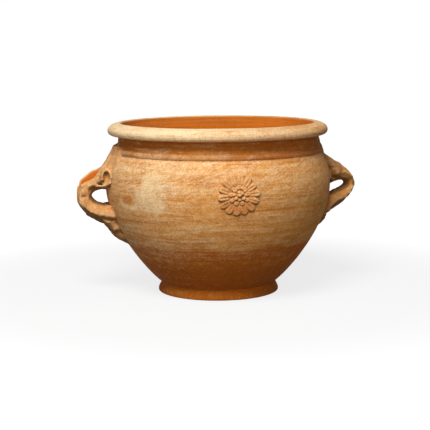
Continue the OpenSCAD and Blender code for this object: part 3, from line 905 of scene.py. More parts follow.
def upper_root_field(x, y, z, wall, form, lumps):
    """The broad smear of clay from the neck down to the strap, with a ridge down its back."""
    levels, reach = np.array(form["root_back"]).T
    back = np.interp(z, levels[::-1], reach[::-1])
    wide = np.interp(z, *np.array(form["root_width"]).T) + 2.2 * lumps
    wide = np.where(y > 0, np.minimum(wide, 40), wide)
    off = np.abs(y - 2)
    ridge = np.maximum(back - wall, 2) * (1 - glide(off, 10, 31))
    flank = (3.2 + 3.6 * (1 - glide(off, 18, wide))) * (1 - glide(off, wide - 3.5, wide + 2.5))
    rise = np.maximum(ridge, flank)
    top = levels[0] + 1.2 * lumps
    rise = rise * glide(z, top + 1, top - 4) - 4 * glide(z, top - 0.5, top + 4)
    rise = rise - 4.5 * glide(off, wide + 1, wide + 6)
    return np.maximum((x - wall - rise) * 0.8, form["centre"][1] + 4 - z)


def lower_root_field(x, y, z, wall, form, lumps):
    """The pad under the strap, which runs down the belly to a blunt end."""
    levels, reach = np.array(form["low_back"]).T
    back = np.interp(z, levels, reach)
    low, cz = levels[0], form["centre"][1]
    wide = 26 + 7 * glide(z, low, cz - 40) + 2.5 * lumps
    off = np.abs(y)
    pad = np.maximum(back - wall, 2) * (1 - glide(off, 9, wide))
    flank = 4 * (1 - glide(off, wide * 0.6, wide + 5)) * glide(z, low, low + 16)
    rise = np.maximum(pad, flank) * glide(z, low - 2, low + 5)
    rise = rise - 4 * glide(z, low + 2, low - 3) - 4.5 * glide(off, wide + 3, wide + 9)
    return np.maximum((x - wall - rise) * 0.8, z - cz + 4)


def bars(x, y, z, points):
    """Distances to the tapered bars from each (x, y, z, radius) point to the next."""
    for (*a, thick_a), (*b, thick_b) in zip(points, points[1:]):
        yield bar(x, y, z, a, b, thick_a, thick_b)


def chain(x, y, z, points):
    """Distance to the nearest of those bars."""
    field = np.full(np.broadcast(x, y, z).shape, 99.0)
    for one in bars(x, y, z, points):
        field = np.minimum(field, one)
    return field


def rolled(field, x, y, z, points, soft):
    """Clay with a roll blended on to it."""
    for one in bars(x, y, z, points):
        field = blend_in(field, one, soft)
    return field


def thumbed(field, x, y, z, away):
    """Clay with the thumb's lip, and the wide, shallow hollow under it, down to the wall."""
    field = blend_in(field, lobe(x, y, z, (226, -32, 238), (13, 20, 20)), 5)
    field = rolled(field, x, y, z, THUMB_ROLL, 2.5)
    hollow = blend_in(lobe(x, y, z, (228, -50, 237.5), (7.2, 12.5, 12.5)),
                      bar(x, y, z, (229, -44, 229), (243, -30, 223), 5, 2.2), 3)
    return cut_out(field, np.maximum(hollow, 1.6 - away), 2.0)


def handle_field(x, y, z, form, skin, marks, seed):
    """One whole handle as two fields, negative in the clay, in millimetres: as finished, and
    before any finger or thumb was pressed into it."""
    side = form["side"]
    away = np.hypot(x, y) - skin.radius(side * x, y, z)
    wall = np.sqrt(np.maximum(skin.radius(side * x, y, z, bridged=True)**2 - y * y, 1))
    lumps = finger_marks(x, y, z, 34, seed)
    small = finger_marks(x, y, z, 12, seed + 1)
    body, plain, hole = strap_field(x, y, z, form)
    fields = []
    for field in (body, plain):
        field = blend_in(field, upper_root_field(x, y, z, wall, form, lumps), 6)
        field = blend_in(field, lower_root_field(x, y, z, wall, form, lumps), 5)
        field = cut_out(field, hole, 2.5)
        if form is LEFT:
            field = thumbed(field, x, y, z, away)
        for points, soft in form["rolls"]:
            field = rolled(field, x, y, z, points, soft)
        fields.append(field)
    field, filled = fields
    for points, soft in [*form["creases"], (form["recess"], 3)]:
        field = cut_out(field, chain(x, y, z, points), soft)
    for centre, radii, soft in form["dents"]:
        field = cut_out(field, lobe(x, y, z, centre, radii), soft)
    uneven = marks * (lumps + 0.5 * small)
    # Only the clay outside the wall, and a little under its skin, no wider than the frame
    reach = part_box("strap_" + form["name"])[side > 0].x * side / MM
    kept = np.maximum(-(away + 2.6), x - reach + 0.5)
    return np.maximum(field - uneven, kept), filled - uneven


def painted_shade(x, y, z, form):
    """Share of painted shade, from 0 to 1: in the finger hole, the recess and below."""
    hole = strap_field(x, y, z, form)[2]
    # Painted shade deep in the finger hole, in the recess under the roll, and low on the root in
    # the strap's shadow
    inside = glide(np.abs(hole), 7.0, 2.0) * glide(y, -23, -14)
    recess = glide(chain(x, y, z, form["recess"]), 3.0, 0.0)
    pad = 0.75 * glide(form["centre"][1] - z, 36, 50) * glide(y, -30, -20)
    return np.maximum(np.maximum(inside, recess), pad)


def modelled_handle(name, form, skin, material, step_mm, marks, seed):
    """A handle as a mesh, whose points keep how deep they were pressed and their painted shade.
    """
    low = np.array([*BLOCK_LOW, form["centre"][1] - form["drop"] - 12])
    count = np.ceil((np.array(BLOCK_HIGH) - low) / step_mm).astype(int) + 1
    x, y, z = np.meshgrid(*(low[i] + step_mm * np.arange(count[i]) for i in range(3)),
                          indexing="ij")
    field = handle_field(x, y, z, form, skin, marks, seed)[0]
    # Bare of clay at the block's sides, so that the mesh is closed
    field[0], field[-1], field[:, 0], field[:, -1], field[:, :, 0], field[:, :, -1] = (9,) * 6
    verts, quads = surface_of(field, low, step_mm)
    verts = relaxed(verts, quads, 2)
    deep = -handle_field(*verts.T, form, skin, marks, seed)[1]
    dull = painted_shade(*verts.T, form)
    verts[:, 0] *= form["side"]
    mesh = outward(mesh_from(name, verts * MM, quads))
    # Shares for the colour: pressed depth for painted shade in the hollows, and the painted shade
    # mask
    for label, share in (("pressed", glide(deep, 0.8, 4.0)), ("painted_shade", dull)):
        kept = mesh.attributes.new(label, "FLOAT", "POINT")
        kept.data.foreach_set("value", share.astype(np.float32))
    keep_largest(mesh)
    return object_from(name, mesh, material)


def keep_largest(mesh):
    """Drops loose crumbs and keeps the one main body."""
    work = bmesh.new()
    work.from_mesh(mesh)
    left, groups = set(work.verts), []
    while left:
        stack, group = [left.pop()], []
        while stack:
            vert = stack.pop()
            group.append(vert)
            for edge in vert.link_edges:
                other = edge.other_vert(vert)
                if other in left:
                    left.discard(other)
                    stack.append(other)
        groups.append(group)
    groups.sort(key=len)
    for group in groups[:-1]:
        bmesh.ops.delete(work, geom=group, context="VERTS")
    work.to_mesh(mesh)
    work.free()


# The rosette

# The sheet that takes the relief, the disc kept of it, and the middle of its heart, in metres
SHEET = 0.104
SHEET_POINTS = 250
STAMP_R = 0.0512
HEART = (0.0015, 0.004)
# Ring of the leaflets and their pellets, as a share of the rosette's radius
LEAFLET_RING = 0.27


def petal_mesh(name, length, width, rise, groove):
    """One petal lying along +Y from the origin, closed and rounded, with a vein down it."""
    across, along = 14, 18
    work = bmesh.new()
    top, bottom = [], []
    for j in range(along + 1):
        s = j / along
        bulge = 0.34 + 0.66 * math.sin(math.pi * min(1, 0.16 + 0.62 * s))
        tip = math.sqrt(max(0.0, 1 - max(0, (s - 0.72) / 0.28)**2.4))
        half = max(width / 2 * bulge * tip, width * 0.02)
        end = math.sqrt(max(0.0, 1 - max(0, (s - 0.8) / 0.2)**2)) * min(1, 0.35 + 3 * s)
        for i in range(across + 1):
            t = 2 * i / across - 1
            dome = (1 - abs(t)**2.6)**0.5 * (0.55 + 0.45 * s) * end
            vein = math.exp(-(t / 0.2)**2) * math.sin(math.pi * min(1, s * 1.05))
            h = max(rise * dome - groove * vein, 0) + 0.02 * MM
            top.append(work.verts.new((half * t, length * s, h)))
            bottom.append(work.verts.new((half * t, length * s, -1.0 * MM)))
    wide = across + 1
    for j in range(along):
        for i in range(across):
            a = j * wide + i
            work.faces.new([top[a], top[a + 1], top[a + 1 + wide], top[a + wide]])
            work.faces.new([bottom[a], bottom[a + wide], bottom[a + 1 + wide], bottom[a + 1]])
    edge = ([i for i in range(across)] + [across + j * wide for j in range(along)]
            + [along * wide + i for i in range(across, 0, -1)]
            + [j * wide for j in range(along, 0, -1)])
    for a, b in zip(edge, edge[1:] + edge[:1]):
        work.faces.new([bottom[a], bottom[b], top[b], top[a]])
    bmesh.ops.recalc_face_normals(work, faces=work.faces)
    return object_from(name, worked_mesh(name, work))


def pellet_mesh(name, radius):
    """A pellet, a little flattened."""
    work = bmesh.new()
    bmesh.ops.create_icosphere(work, subdivisions=3, radius=radius)
    for vert in work.verts:
        vert.co.z *= 0.8
    return object_from(name, worked_mesh(name, work))


def rosette_tree():
    """Geometry Nodes: petals, leaflets and pellets set in rings, pressed as one relief
    and laid on the belly."""
    tree, given = new_tree("Pressed Rosette", "GeometryNodeTree", {
        "Geometry": "Geometry", "Belly": "Object", "Petal": "Object", "Leaflet": "Object",
        "Pellet": "Object", "Petals": 13, "Leaflets": 9, "Radius": 0.041, "Height": 0.218,
        "Softness": 2, "Seed": 0, "Pressed Clay": "Material"})

    def shape_of(name):
        return place(tree, "GeometryNodeObjectInfo", given[name]).out("Geometry")

    def ring(count, share, shape, low, high, lift, twist=0.0, centre=(0.0, 0.0)):
        """Copies of a shape round a circle, each turned outwards and a little different."""
        circle = place(tree, "GeometryNodeMeshCircle", count, given["Radius"] * share,
                       fill_type="NONE")
        turned = place(tree, "GeometryNodeTransform", circle, (*centre, lift), (0.0, 0.0, twist))
        x, y, _ = split(place(tree, "GeometryNodeInputPosition"))
        turn = maths("ARCTAN2", y - centre[1], x - centre[0]) - math.pi / 2
        size = place(tree, "FunctionNodeRandomValue", (0.9, 0.88, low), (1.06, 1.04, high),
                     None, given["Seed"], data_type="FLOAT_VECTOR")
        copies = place(tree, "GeometryNodeInstanceOnPoints", turned, None, shape_of(shape),
                       None, None, combine(0.0, 0.0, turn), size)
        return place(tree, "GeometryNodeRealizeInstances", copies)

    stamp = joined_parts(
        ring(given["Petals"], 0.41, "Petal", 0.85, 1.05, 0.0, 0.11),
        ring(given["Leaflets"], LEAFLET_RING, "Leaflet", 0.8, 1.1, 0.0012, 0.2),
        ring(3, 0.07, "Pellet", 1.25, 1.4, 0.0024, 0.1, HEART),
        ring(given["Leaflets"], LEAFLET_RING, "Pellet", 0.7, 1.05, 0.0012, 0.5, HEART))

    sheet = place(tree, "GeometryNodeMeshGrid", SHEET, SHEET, SHEET_POINTS, SHEET_POINTS)
    where = place(tree, "GeometryNodeInputPosition")
    x, y, _ = split(where)
    reach = maths("SQRT", x * x + y * y)
    hit = place(tree, "GeometryNodeRaycast", stamp, None, vector(
        "ADD", where, (0.0, 0.0, 0.05)), (0.0, 0.0, -1.0), 0.1, data_type="FLOAT")
    relief = split(hit.out("Hit Position"))[2]
    # Base disc between the petals, with an uneven edge that sinks into the belly
    ragged = (noise(where, 55.0, 2.0) - 0.5) * 0.008
    base = ramp((reach + ragged) / given["Radius"], 0.82, 1.0, 0.0009, -0.0006)
    raw = most(base, place(tree, "GeometryNodeSwitch", hit, -0.001, relief, input_type="FLOAT"))
    # The lower petals are worn almost flat; those above are still crisp
    wear = ramp(y, -0.006, -0.020) * ramp(reach, 0.006, 0.015)
    wear = most(wear, ramp(noise(where, 60.0, 1.0), 0.56, 0.72) * 0.5)
    worn = raw * ramp(wear, 0.0, 1.0, 1.0, 0.55)
    soft = place(tree, "GeometryNodeBlurAttribute", worn, given["Softness"], 1.0,
                 data_type="FLOAT")
    softer = place(tree, "GeometryNodeBlurAttribute", soft, 9, wear, data_type="FLOAT")
    high = softer + (noise(where, 420.0, 2.0) - 0.5) * 0.0007
    rim = ramp(reach, 0.047, 0.0505)
    kept = stored(sheet, "relief", high * (1.0 - rim) + rim * -0.002)
    # Painted shade in the gaps between the petals, kept as the pressed share
    kept = stored(kept, "pressed", ramp(high, 0.0036, 0.0012) * ramp(reach, 0.0405, 0.0375))
    disc = place(tree, "GeometryNodeDeleteGeometry", kept, above(reach, STAMP_R), domain="POINT")

    def laid(lift):
        """The flat disc laid on the belly, lift metres out from its skin."""
        start = combine(x, -0.4, y + given["Height"])
        skin = place(tree, "GeometryNodeRaycast", shape_of("Belly"), None, start,
                     (0.0, 1.0, 0.0), 1.0, data_type="FLOAT")
        out = vector("SCALE", skin.out("Hit Normal"), lift)
        return place(tree, "GeometryNodeSetPosition", disc, None, vector(
            "ADD", skin.out("Hit Position"), out))

    face = laid(place(tree, "GeometryNodeInputNamedAttribute", "relief", data_type="FLOAT"))
    back = place(tree, "GeometryNodeFlipFaces", laid(-0.002))
    closed = place(tree, "GeometryNodeMergeByDistance", joined_parts(back, face), None, 2e-5)
    smooth = place(tree, "GeometryNodeSetShadeSmooth", closed, None, True, domain="FACE")
    return close_tree(tree, {"Rosette": in_clay(smooth, given["Pressed Clay"])})


# Clay shaders

CREASE = CREASE_Z * MM
RIM = RIM_Z * MM


def grain_group():
    """Sandy grain and small pits of unglazed clay."""
    tree, given = new_tree("Clay Grain", "ShaderNodeTree", {"Place": "Vector", "Pits": 1.0})
    spot = place(tree, "ShaderNodeVectorRotate", given["Place"], (0.0, 0.0, 0.0),
                 (0.6, 0.5, 0.7), rotation_type="EULER_XYZ")
    sand = noise(spot, 330.0, 4.0, 0.72)
    mottle = noise(spot, 90.0, 4.0, 0.65)
    cells = place(tree, "ShaderNodeTexVoronoi", feature="F1", by_name={
        "Vector": spot, "Scale": 150.0})
    few = ramp(noise(spot, 60.0, 1.0), 0.58, 0.70)
    pit = ramp(cells, 0.08, 0.22, 1.0, 0.0) * (few * given["Pits"])
    return close_tree(tree, {
        "Speckle": (sand - 0.5) * 2.2 + (mottle - 0.5) - pit * 0.8,
        "Height": sand * 0.6 + mottle * 0.5 - pit})


def turning_group():
    """Lines that fingers and a wet sponge leave round a thrown wall."""
    tree, given = new_tree("Turning Lines", "ShaderNodeTree", {"Place": "Vector"})
    fine = noise(stretched(given["Place"], 13.0, 300.0), 1.0, 2.0, 0.6, 0.3)
    wide = noise(stretched(given["Place"], 4.0, 70.0), 1.0, 3.0, 0.55, 0.35)
    return close_tree(tree, {"Streak": (fine - 0.5) * 1.6 + (wide - 0.5) * 1.4,
                             "Height": fine * 0.7 + wide * 0.8})


def brush_group():
    """Slanting strokes of a stiff brush, dragged round the wall while it dried."""
    tree, given = new_tree("Brush Strokes", "ShaderNodeTree", {"Place": "Vector", "Slope": 0.4})
    x, y, z = split(given["Place"])
    lean = z - x * given["Slope"]
    along = z * given["Slope"] + x
    fibre = noise(combine(along * 26.0, y * 26.0, lean * 330.0), 1.0, 3.0, 0.65, 0.2)
    return close_tree(tree, {"Stroke": (fibre - 0.5) * 2.4, "Height": fibre})


def edge_wear_and_shade_group():
    """How far a place stands proud, or lies in a hollow, from its pointiness."""
    tree, given = new_tree("Edge Wear", "ShaderNodeTree", {"Pointiness": 0.5, "Width": 0.04})
    point, width = given["Pointiness"], given["Width"]
    return close_tree(tree, {"Proud": ramp(point, 0.505, width + 0.5, steps="LINEAR"),
                             "Hollow": ramp(point, 0.495, 0.5 - width, steps="LINEAR")})


def stretched(spot, around, upwards):
    """A place scaled for noise, round the pot and upwards."""
    return vector("MULTIPLY", spot, (around, around, upwards))


def waver(spot, scale, size):
    """Ragged offset, for the edge of a patch."""
    return (noise(spot, scale, 4.0, 0.65) - 0.5) * size


def from_middle(spot, centre, squash):
    """Distance from a centre on the wall, with heights counted squash times."""
    return vector("LENGTH", stretched(vector("SUBTRACT", spot, centre), 1.0, squash))


def fired_clay(given, cloud, calm, neck):
    """Fired clay: redder in clouds, with painted shade in the crease, on the neck and by the
    foot.
    """
    x, _, z = split(given["Place"])
    veil = noise(stretched(given["Place"], 1.0, 2.6), 9.0, 5.0, 0.62, 0.6)
    warm = (veil - 0.5) * 1.1 + (cloud - 0.46) * 1.5 - given["Streak"] * calm * 0.55
    # Painted shade: deeper colour low on the bowl, and on the neck under the rim
    warm = warm + ramp(z, 0.16, 0.07, 0.12, 0.8) + neck * 0.8
    warm = warm + between(z, 0.083, 0.092, 0.102, 0.112) * 0.7
    # Painted shade: the crease under the cordon is laid in deeper colour
    crease = between(z, CREASE - 0.005, CREASE - 0.002, CREASE + 0.0005, CREASE + 0.002)
    colour = mix(most(warm, crease * 0.6), given["Fired Clay"], given["Deep Clay"])
    # Painted shade of the rim: damp-and-shade colour on the neck, fading out to the right
    rim_shade_on_neck = neck * ramp(x, 0.02, 0.14, 0.25, 0.0)
    colour = mix(rim_shade_on_neck, colour, given["Damp and Shade Clay"])
    # Painted shade: darker towards the bottom, where the bowl turns down to the foot, and partly
    # on the foot ring
    low = ramp(z, 0.105, 0.055) * ramp(z, 0.012, 0.03, 0.55, 1.0)
    return mix(low, colour, given["Low Shade Clay"])


def dry_skin(given, calm, brushed, neck, side):
    """Share of the dry, pale skin: most on the shoulder and the rim, least on the neck."""
    x, _, z = split(given["Place"])
    dry = given["Streak"] * calm * 0.7 + given["Speckle"] * 0.7
    # The neck is kept less dry: painted shade of the rim
    dry = dry + given["Stroke"] * brushed * 0.9 - neck * 0.85
    # Paler towards the shoulder and less so low down: partly the skin's own spread, partly
    # painted light from above
    dry = dry + ramp(z, 0.17, 0.28, 0.0, 0.22) + ramp(z, 0.065, 0.125, -0.32, 0.0)
    # Painted light and shade: paler on the left, where the key falls, darker on the right
    dry = dry + ramp(x, -0.02, -0.17, 0.0, 0.14) + ramp(x, 0.05, 0.18, 0.0, -0.10)
    # The rim's top paler on the left: partly painted highlight
    dry = dry + side * ramp(z, RIM + 0.0015, RIM + 0.009, 0.0, 0.5)
    return ramp(dry, -0.15, 1.0, 0.0, 0.85, "LINEAR")


def lime_bloom(given, cloud, side):
    """Share of the lime: a wet patch that dried on the left with a hooked edge, drifts, and
    wiped marks on the cordon, neck and crest. Also the bare eye that the hook goes round."""
    spot = given["Place"]
    x, _, z = split(spot)
    ragged = waver(spot, 22.0, 0.050) + waver(spot, 70.0, 0.026)
    patch = least(from_middle(spot, (-0.157, -0.160, 0.204), 1.4),
                  from_middle(spot, (-0.150, -0.163, 0.226), 0.9) + 0.008)
    chalk = ramp(patch + ragged, 0.047, 0.024, 0.0, 0.8)
    eye = from_middle(spot, (-0.190, -0.113, 0.204), 1.5) + ragged * 0.3
    hook = ramp(maths("ABSOLUTE", eye - 0.027), 0.011, 0.002)
    chalk = most(chalk, hook * ramp(z, 0.208, 0.198) * 0.75)
    drift = noise(stretched(spot, 14.0, 90.0), 1.0, 3.0, 0.65, 0.5)
    drifted = ramp(z, 0.18, 0.27, 0.0, 0.35) + between(z, 0.095, 0.118, 0.165, 0.190) * 0.35
    chalk = most(chalk, ramp(drift, 0.46, 0.68) * drifted * side)
    wiped = (ramp(z, CREASE - 0.0005, CREASE + 0.0035) * ramp(z, RIM - 0.008, RIM - 0.022,
                                                              0.15, 1.0)
             * ramp(z, RIM + 0.001, RIM - 0.006))
    chalk = most(chalk, wiped * side * ramp(cloud, 0.53, 0.66, 0.0, 0.65))
    bead = between(z, CREASE - 0.0015, CREASE + 0.001, CREASE + 0.008, CREASE + 0.011)
    bead = bead * ramp(x, 0.04, -0.10, 0.1, 0.5)
    chalk = most(chalk, bead * ramp(cloud, 0.36, 0.52, 0.3, 1.0))
    # The crest's chalk: partly lime, partly painted highlight on the rim's top, more on the left
    crest = ramp(z, RIM + 0.0025, RIM + 0.012)
    chalk = most(chalk, crest * side * ramp(given["Streak"] * 0.12 + drift, 0.38, 0.56,
                                            0.15, 1.0))
    dusty = ramp(given["Speckle"], -0.7, 0.35, 0.25, 1.0, "LINEAR")
    return chalk * most(dusty, crest * 0.85), ramp(eye, 0.017, 0.006, 0.0, 0.55)


def skin_group():
    """Colour of the pot's outer skin at each place: fired clay, streaks and lime bloom."""
    clay = bpy.context.scene.planter_clay
    tree, given = new_tree("Pot Skin", "ShaderNodeTree", {
        "Place": "Vector", "Streak": 0.0, "Speckle": 0.0, "Stroke": 0.0,
        "Fired Clay": (*clay.mid, 1), "Deep Clay": (*clay.deep, 1),
        "Pale Clay": (*clay.pale, 1), "Lime Bloom": (*clay.bloom, 1),
        "Damp and Shade Clay": (*clay.damp_and_shade, 1), "Low Shade Clay": (*clay.foot, 1)})
    x, _, z = split(given["Place"])
    cloud = noise(stretched(given["Place"], 1.0, 1.6), 24.0, 4.0, 0.62, 0.7)
    calm = ramp(z, 0.06, 0.11, 0.4, 1.0)
    brushed = between(z, 0.185, 0.225, CREASE - 0.0055, CREASE + 0.0015)
    neck = between(z, CREASE - 0.004, CREASE + 0.0035, RIM + 0.001, RIM + 0.006)
    # Side: 1 on the left, where the key falls, easing to 0.25 on the right; the pale skin and
    # lime it scales are partly painted light
    side = ramp(x, 0.18, -0.16, 0.25, 1.0)
    colour = fired_clay(given, cloud, calm, neck)
    colour = mix(dry_skin(given, calm, brushed, neck, side), colour, given["Pale Clay"])
    chalk, eye = lime_bloom(given, cloud, side)
    colour = mix(eye, colour, given["Deep Clay"])
    colour = mix(chalk * 0.85, colour, given["Lime Bloom"])
    shade = ramp(given["Speckle"] * ramp(chalk, 0.0, 1.0, 1.0, 0.4), -0.9, 0.9, 0.55, 1.38,
                 "LINEAR")
    return close_tree(tree, {"Colour": shaded(colour, shade), "Chalk": chalk,
                             "Brushed": brushed})


@functools.cache
def groups():
    """The shader groups that the clay materials share, each built once."""
    return {"grain": grain_group(), "lines": turning_group(), "brush": brush_group(),
            "wear": edge_wear_and_shade_group(), "skin": skin_group()}


class Clay:
    """A clay material, with the pot's skin laid out over object space."""

    def __init__(self, name):
        self.material = bpy.data.materials.new(name)
        self.tree = empty_tree(self.material)
        self.where = place(self.tree, "ShaderNodeTexCoord").out("Object")
        self.speckle, self.grain = self.group("grain", self.where, 0.6)
        self.streak, self.lines = self.group("lines", self.where)
        stroke, self.strokes = self.group("brush", self.where)
        self.colour, self.chalk, self.brushed = self.group(
            "skin", self.where, self.streak, self.speckle, stroke)

    def group(self, name, *feeds):
        return group_in(self.tree, groups()[name], *feeds)

    def attribute(self, name):
        return place(self.tree, "ShaderNodeAttribute", attribute_name=name).out("Fac")

    def finish(self, colour, height, depth):
        """Clay is matt: one plain shader, with its grain and lines as a fine bump."""
        bump = place(self.tree, "ShaderNodeBump", by_name={
            "Strength": 1.0, "Distance": depth, "Height": height})
        show(place(self.tree, "ShaderNodeBsdfPrincipled", by_name={
            "Base Color": colour, "Roughness": ramp(self.chalk, 0.0, 1.0, 0.80, 0.95),
            "Normal": bump, "Specular IOR Level": 0.12}))
        return self.material


def thrown_clay():
    """Outside and inside of the thrown walls: one clay, so that seams don't show."""
    colours = bpy.context.scene.planter_clay
    clay = Clay("thrown_terracotta")
    # Clean clay inside, up to the rounded crest
    crest = POT_H * MM
    inner = ramp(clay.attribute("facing"), -0.05, -0.5)
    inner = inner * ramp(split(clay.where)[2], crest - 0.0005, crest - 0.004)
    clean = mix(ramp(clay.streak, -0.7, 0.35), colours.deep, colours.inside)
    clean = shaded(clean, ramp(clay.speckle, -0.9, 0.9, 0.8, 1.15, "LINEAR"))
    height = clay.lines * 0.5 + clay.grain * 0.7 + clay.strokes * clay.brushed * 0.5
    return clay.finish(mix(inner * 0.95, clay.colour, clean), height, 0.0016)


def modelled_clay(name, proud, hollow, width=0.05, sunk=0.95, stain=0.0):
    """Clay worked by hand over the pot's own skin: pale where it stands proud, partly wear and
    partly painted highlight; painted shade where a finger or stamp pressed in, and on undersides."""
    colours = bpy.context.scene.planter_clay
    clay = Clay(name)
    smear = noise(vector("MULTIPLY", clay.where, (60.0, 24.0, 60.0)), 1.0, 4.0, 0.65, 0.5)
    veil = noise(clay.where, 22.0, 4.0, 0.62, 0.6)
    shape = place(clay.tree, "ShaderNodeNewGeometry")
    edges, dents = clay.group("wear", shape.out("Pointiness"), width)
    warm = ramp(veil, 0.38, 0.64, 0.0, 0.7) + (smear - 0.5) * 1.4
    own = mix(warm, colours.mid, colours.deep)
    own = mix(ramp(clay.speckle, -0.6, 0.8, 0.0, 0.5, "LINEAR"), own, colours.pale)
    # A damp stain, laid heavier on the right handle as painted shade of the side away from the
    # key
    colour = mix(stain, mix(0.5, clay.colour, own), colours.damp_and_shade)
    # Pale on proud edges: partly rubbed wear, partly painted highlight
    colour = mix(edges * proud, colour, colours.bloom)
    # Painted shade: deeper colour in hollows and where clay was pressed in
    colour = mix(most(dents * hollow, clay.attribute("pressed") * sunk), colour,
                 colours.pressed)
    # Painted shade on faces that look down, and where the handle's painted shade mask lies
    underside_shade = ramp(split(shape.out("Normal"))[2], -0.05, -0.6, 0.0, 0.8)
    colour = mix(most(underside_shade, clay.attribute("painted_shade") * 0.85), colour, colours.damp_and_shade)
    return clay.finish(colour, clay.grain * 0.7 + smear * 0.5, 0.0013)


# Operators


class PLANTER_OT_throw(bpy.types.Operator):
    """Throw the foot, floor, belly, neck and rim on the wheel"""
    bl_idname = "planter.throw"
    bl_label = "Throw Pot"

    def execute(self, context):
        tree = thrown_tree()
        clay = thrown_clay()
        for name, profile, nodes in (
                ("foot", foot_profile(), ["foot_ring"]),
                ("floor", floor_profile(), ["base_slab"]),
                ("belly", belly_profile(), ["bowl_wall", "shoulder_wall"]),
                ("neck", neck_profile(), ["neck_collar", "neck_cordon"]),
                ("rim", rim_profile(), ["rim_roll"])):
            piece = thrown(name, tree, profile, clay)
            finished(piece, *nodes)
        return {"FINISHED"}


class PLANTER_OT_pull_handles(bpy.types.Operator):
    """Model the two strap handles with their smeared roots"""
    bl_idname = "planter.pull_handles"
    bl_label = "Pull Handles"

    def execute(self, context):
        sizes = context.scene.planter_handles
        skin = Skin()
        step = sizes.grain / MM * 1
        for form in (LEFT, RIGHT):
            side = form["name"]
            clay = modelled_clay(side + "_handle_terracotta", 0.5, 0.4, stain=form["stain"])
            piece = modelled_handle("handle_" + side, form, skin, clay, step,
                                    sizes.undulation / MM, sizes.seed + form["side"])
            finished(piece, "strap_" + side, "upper_root_" + side, "lower_root_" + side)
        return {"FINISHED"}


class PLANTER_OT_press_rosette(bpy.types.Operator):
    """Press the rosette out of its mould and lay it on the belly"""
    bl_idname = "planter.press_rosette"
    bl_label = "Press Rosette"

    def execute(self, context):
        sizes = context.scene.planter_rosette
        rise = sizes.relief
        petal = petal_mesh("petal", 24 * MM, 14.6 * MM, rise, 0.3 * rise)
        leaflet = petal_mesh("leaflet", 9 * MM, 8.6 * MM, 0.7 * rise, 0.2 * rise)
        pellet = pellet_mesh("pellet", 4.2 * MM)
        source = object_from("rosette_source", bpy.data.meshes.new("rosette_source"))
        piece = grown("rosette", source, rosette_tree(), {
            "Belly": bpy.data.objects["belly"], "Petal": petal, "Leaflet": leaflet,
            "Pellet": pellet, "Petals": sizes.petals, "Leaflets": sizes.leaflets,
            "Radius": ROSETTE_R * MM, "Height": BELLY_Z * MM, "Softness": sizes.softness,
            "Seed": sizes.seed,
            "Pressed Clay": modelled_clay("rosette_terracotta", 0.55, 0.45, 0.06, sunk=0.4)})
        for shape in (petal, leaflet, pellet):
            bpy.data.objects.remove(shape)
        finished(piece, "rosette_sprig", "rosette_button")
        return {"FINISHED"}


def seen_directly(tree):
    """1 for rays that show a surface as it is: from the camera, mirrored or let through."""
    path = place(tree, "ShaderNodeLightPath")
    other = most(path.out("Is Glossy Ray"), path.out("Is Transmission Ray"))
    return most(path.out("Is Camera Ray"), other)


def pale_floor():
    """A pale matt floor that keeps its shadows, and turns white for the camera farther off."""
    material = bpy.data.materials.new("pale_floor")
    tree = empty_tree(material)
    matt = place(tree, "ShaderNodeBsdfDiffuse", by_name={"Color": (0.16, 0.16, 0.16)})
    where = place(tree, "ShaderNodeTexCoord").out("Object")
    far = ramp(vector("LENGTH", where), 0.40, 1.0, 0.80, 1.0)
    glow = place(tree, "ShaderNodeEmission", by_name={"Strength": seen_directly(tree) * far})
    show(place(tree, "ShaderNodeAddShader", matt, glow))
    return material


def even_sky(strength):
    """Weak even light from all round, in front of a white background."""
    world = bpy.data.worlds.new("even_sky")
    tree = empty_tree(world)
    light = ramp(seen_directly(tree), 0.0, 1.0, strength, 1.0, "LINEAR")
    show(place(tree, "ShaderNodeBackground", (1, 1, 1), light), "ShaderNodeOutputWorld")
    return world


def lamp(name, spot, size, power):
    """A square lamp aimed at the middle of the pot."""
    light = bpy.data.lights.new(name, "AREA")
    light.energy, light.size = power, size
    holder = bpy.data.objects.new(name, light)
    holder.location = spot
    aim = Vector((0, 0, POT_H * MM / 2)) - Vector(spot)
    holder.rotation_euler = aim.to_track_quat("-Z", "Y").to_euler()
    bpy.context.scene.collection.objects.link(holder)


# The photograph's camera: 2 mm to a pixel at the pot's axis
PHOTO_PX = 430
FOCAL_PX = 1183
SENSOR_W = 36
CAMERA_SPOT = (-0.006, -2.366, 0.4988)
CAMERA_TURN = math.radians(9.85)
CAMERA_PITCH = math.radians(8.37)
CAMERA_ROLL = math.radians(-0.40)


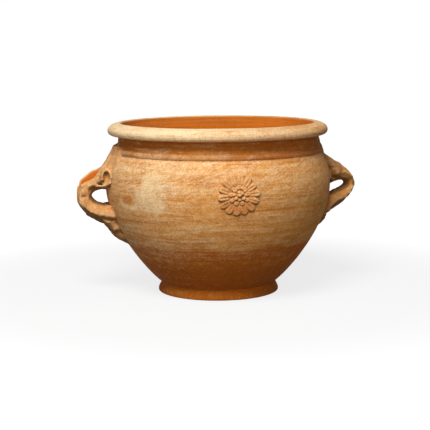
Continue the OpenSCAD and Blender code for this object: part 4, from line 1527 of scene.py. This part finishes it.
def photo_camera():
    """The camera of the photograph's view."""
    lens = bpy.data.cameras.new("camera")
    lens.sensor_width = SENSOR_W
    lens.lens = FOCAL_PX / PHOTO_PX * SENSOR_W
    camera = bpy.data.objects.new("camera", lens)
    round_pot = Matrix.Rotation(-CAMERA_TURN, 4, "Z")
    camera.matrix_world = (Matrix.Translation(round_pot @ Vector(CAMERA_SPOT)) @ round_pot
                           @ Matrix.Rotation(math.pi / 2 - CAMERA_PITCH, 4, "X")
                           @ Matrix.Rotation(CAMERA_ROLL, 4, "Z"))
    bpy.context.scene.collection.objects.link(camera)
    return camera


class PLANTER_OT_set_stage(bpy.types.Operator):
    """Set the pale floor, the soft lights and the camera of the photograph's view"""
    bl_idname = "planter.set_stage"
    bl_label = "Set Stage"

    def execute(self, context):
        scene, stage = context.scene, context.scene.planter_stage
        work = bmesh.new()
        bmesh.ops.create_grid(work, x_segments=1, y_segments=1, size=6)
        ground = object_from("stage_floor", worked_mesh("floor_of_stage", work), pale_floor())
        lamp("key_light", (-0.80, -1.80, 2.69), 1.3, stage.key_power)
        lamp("fill_light", (-0.8, -2.7, 0.6), 1.2, stage.fill_power)
        scene.world = even_sky(stage.sky)
        scene.view_settings.view_transform = "Standard"
        scene.camera = photo_camera()
        return {"FINISHED"}


class PLANTER_PT_panel(bpy.types.Panel):
    """The planter's sizes, colours and steps"""
    bl_idname = "PLANTER_PT_panel"
    bl_label = "Terracotta Planter"
    bl_space_type = "VIEW_3D"
    bl_region_type = "UI"
    bl_category = "Planter"

    def draw(self, context):
        for operator in OPERATORS:
            self.layout.operator(operator.bl_idname)
        for name, group in SETTINGS.items():
            box = self.layout.box()
            for key in group.__annotations__:
                box.prop(getattr(context.scene, name), key)


OPERATORS = (PLANTER_OT_set_stage, PLANTER_OT_throw, PLANTER_OT_pull_handles,
             PLANTER_OT_press_rosette)
CLASSES = (*SETTINGS.values(), *OPERATORS, PLANTER_PT_panel)


def register():
    for cls in CLASSES:
        bpy.utils.register_class(cls)
    for name, group in SETTINGS.items():
        setattr(bpy.types.Scene, name, PointerProperty(type=group))


def unregister():
    for name in SETTINGS:
        delattr(bpy.types.Scene, name)
    for cls in reversed(CLASSES):
        bpy.utils.unregister_class(cls)


def main():
    register()
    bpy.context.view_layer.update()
    bpy.ops.planter.set_stage()
    bpy.ops.planter.throw()
    bpy.ops.planter.pull_handles()
    bpy.ops.planter.press_rosette()
    bpy.context.view_layer.update()


if __name__ == "__main__":
    main()
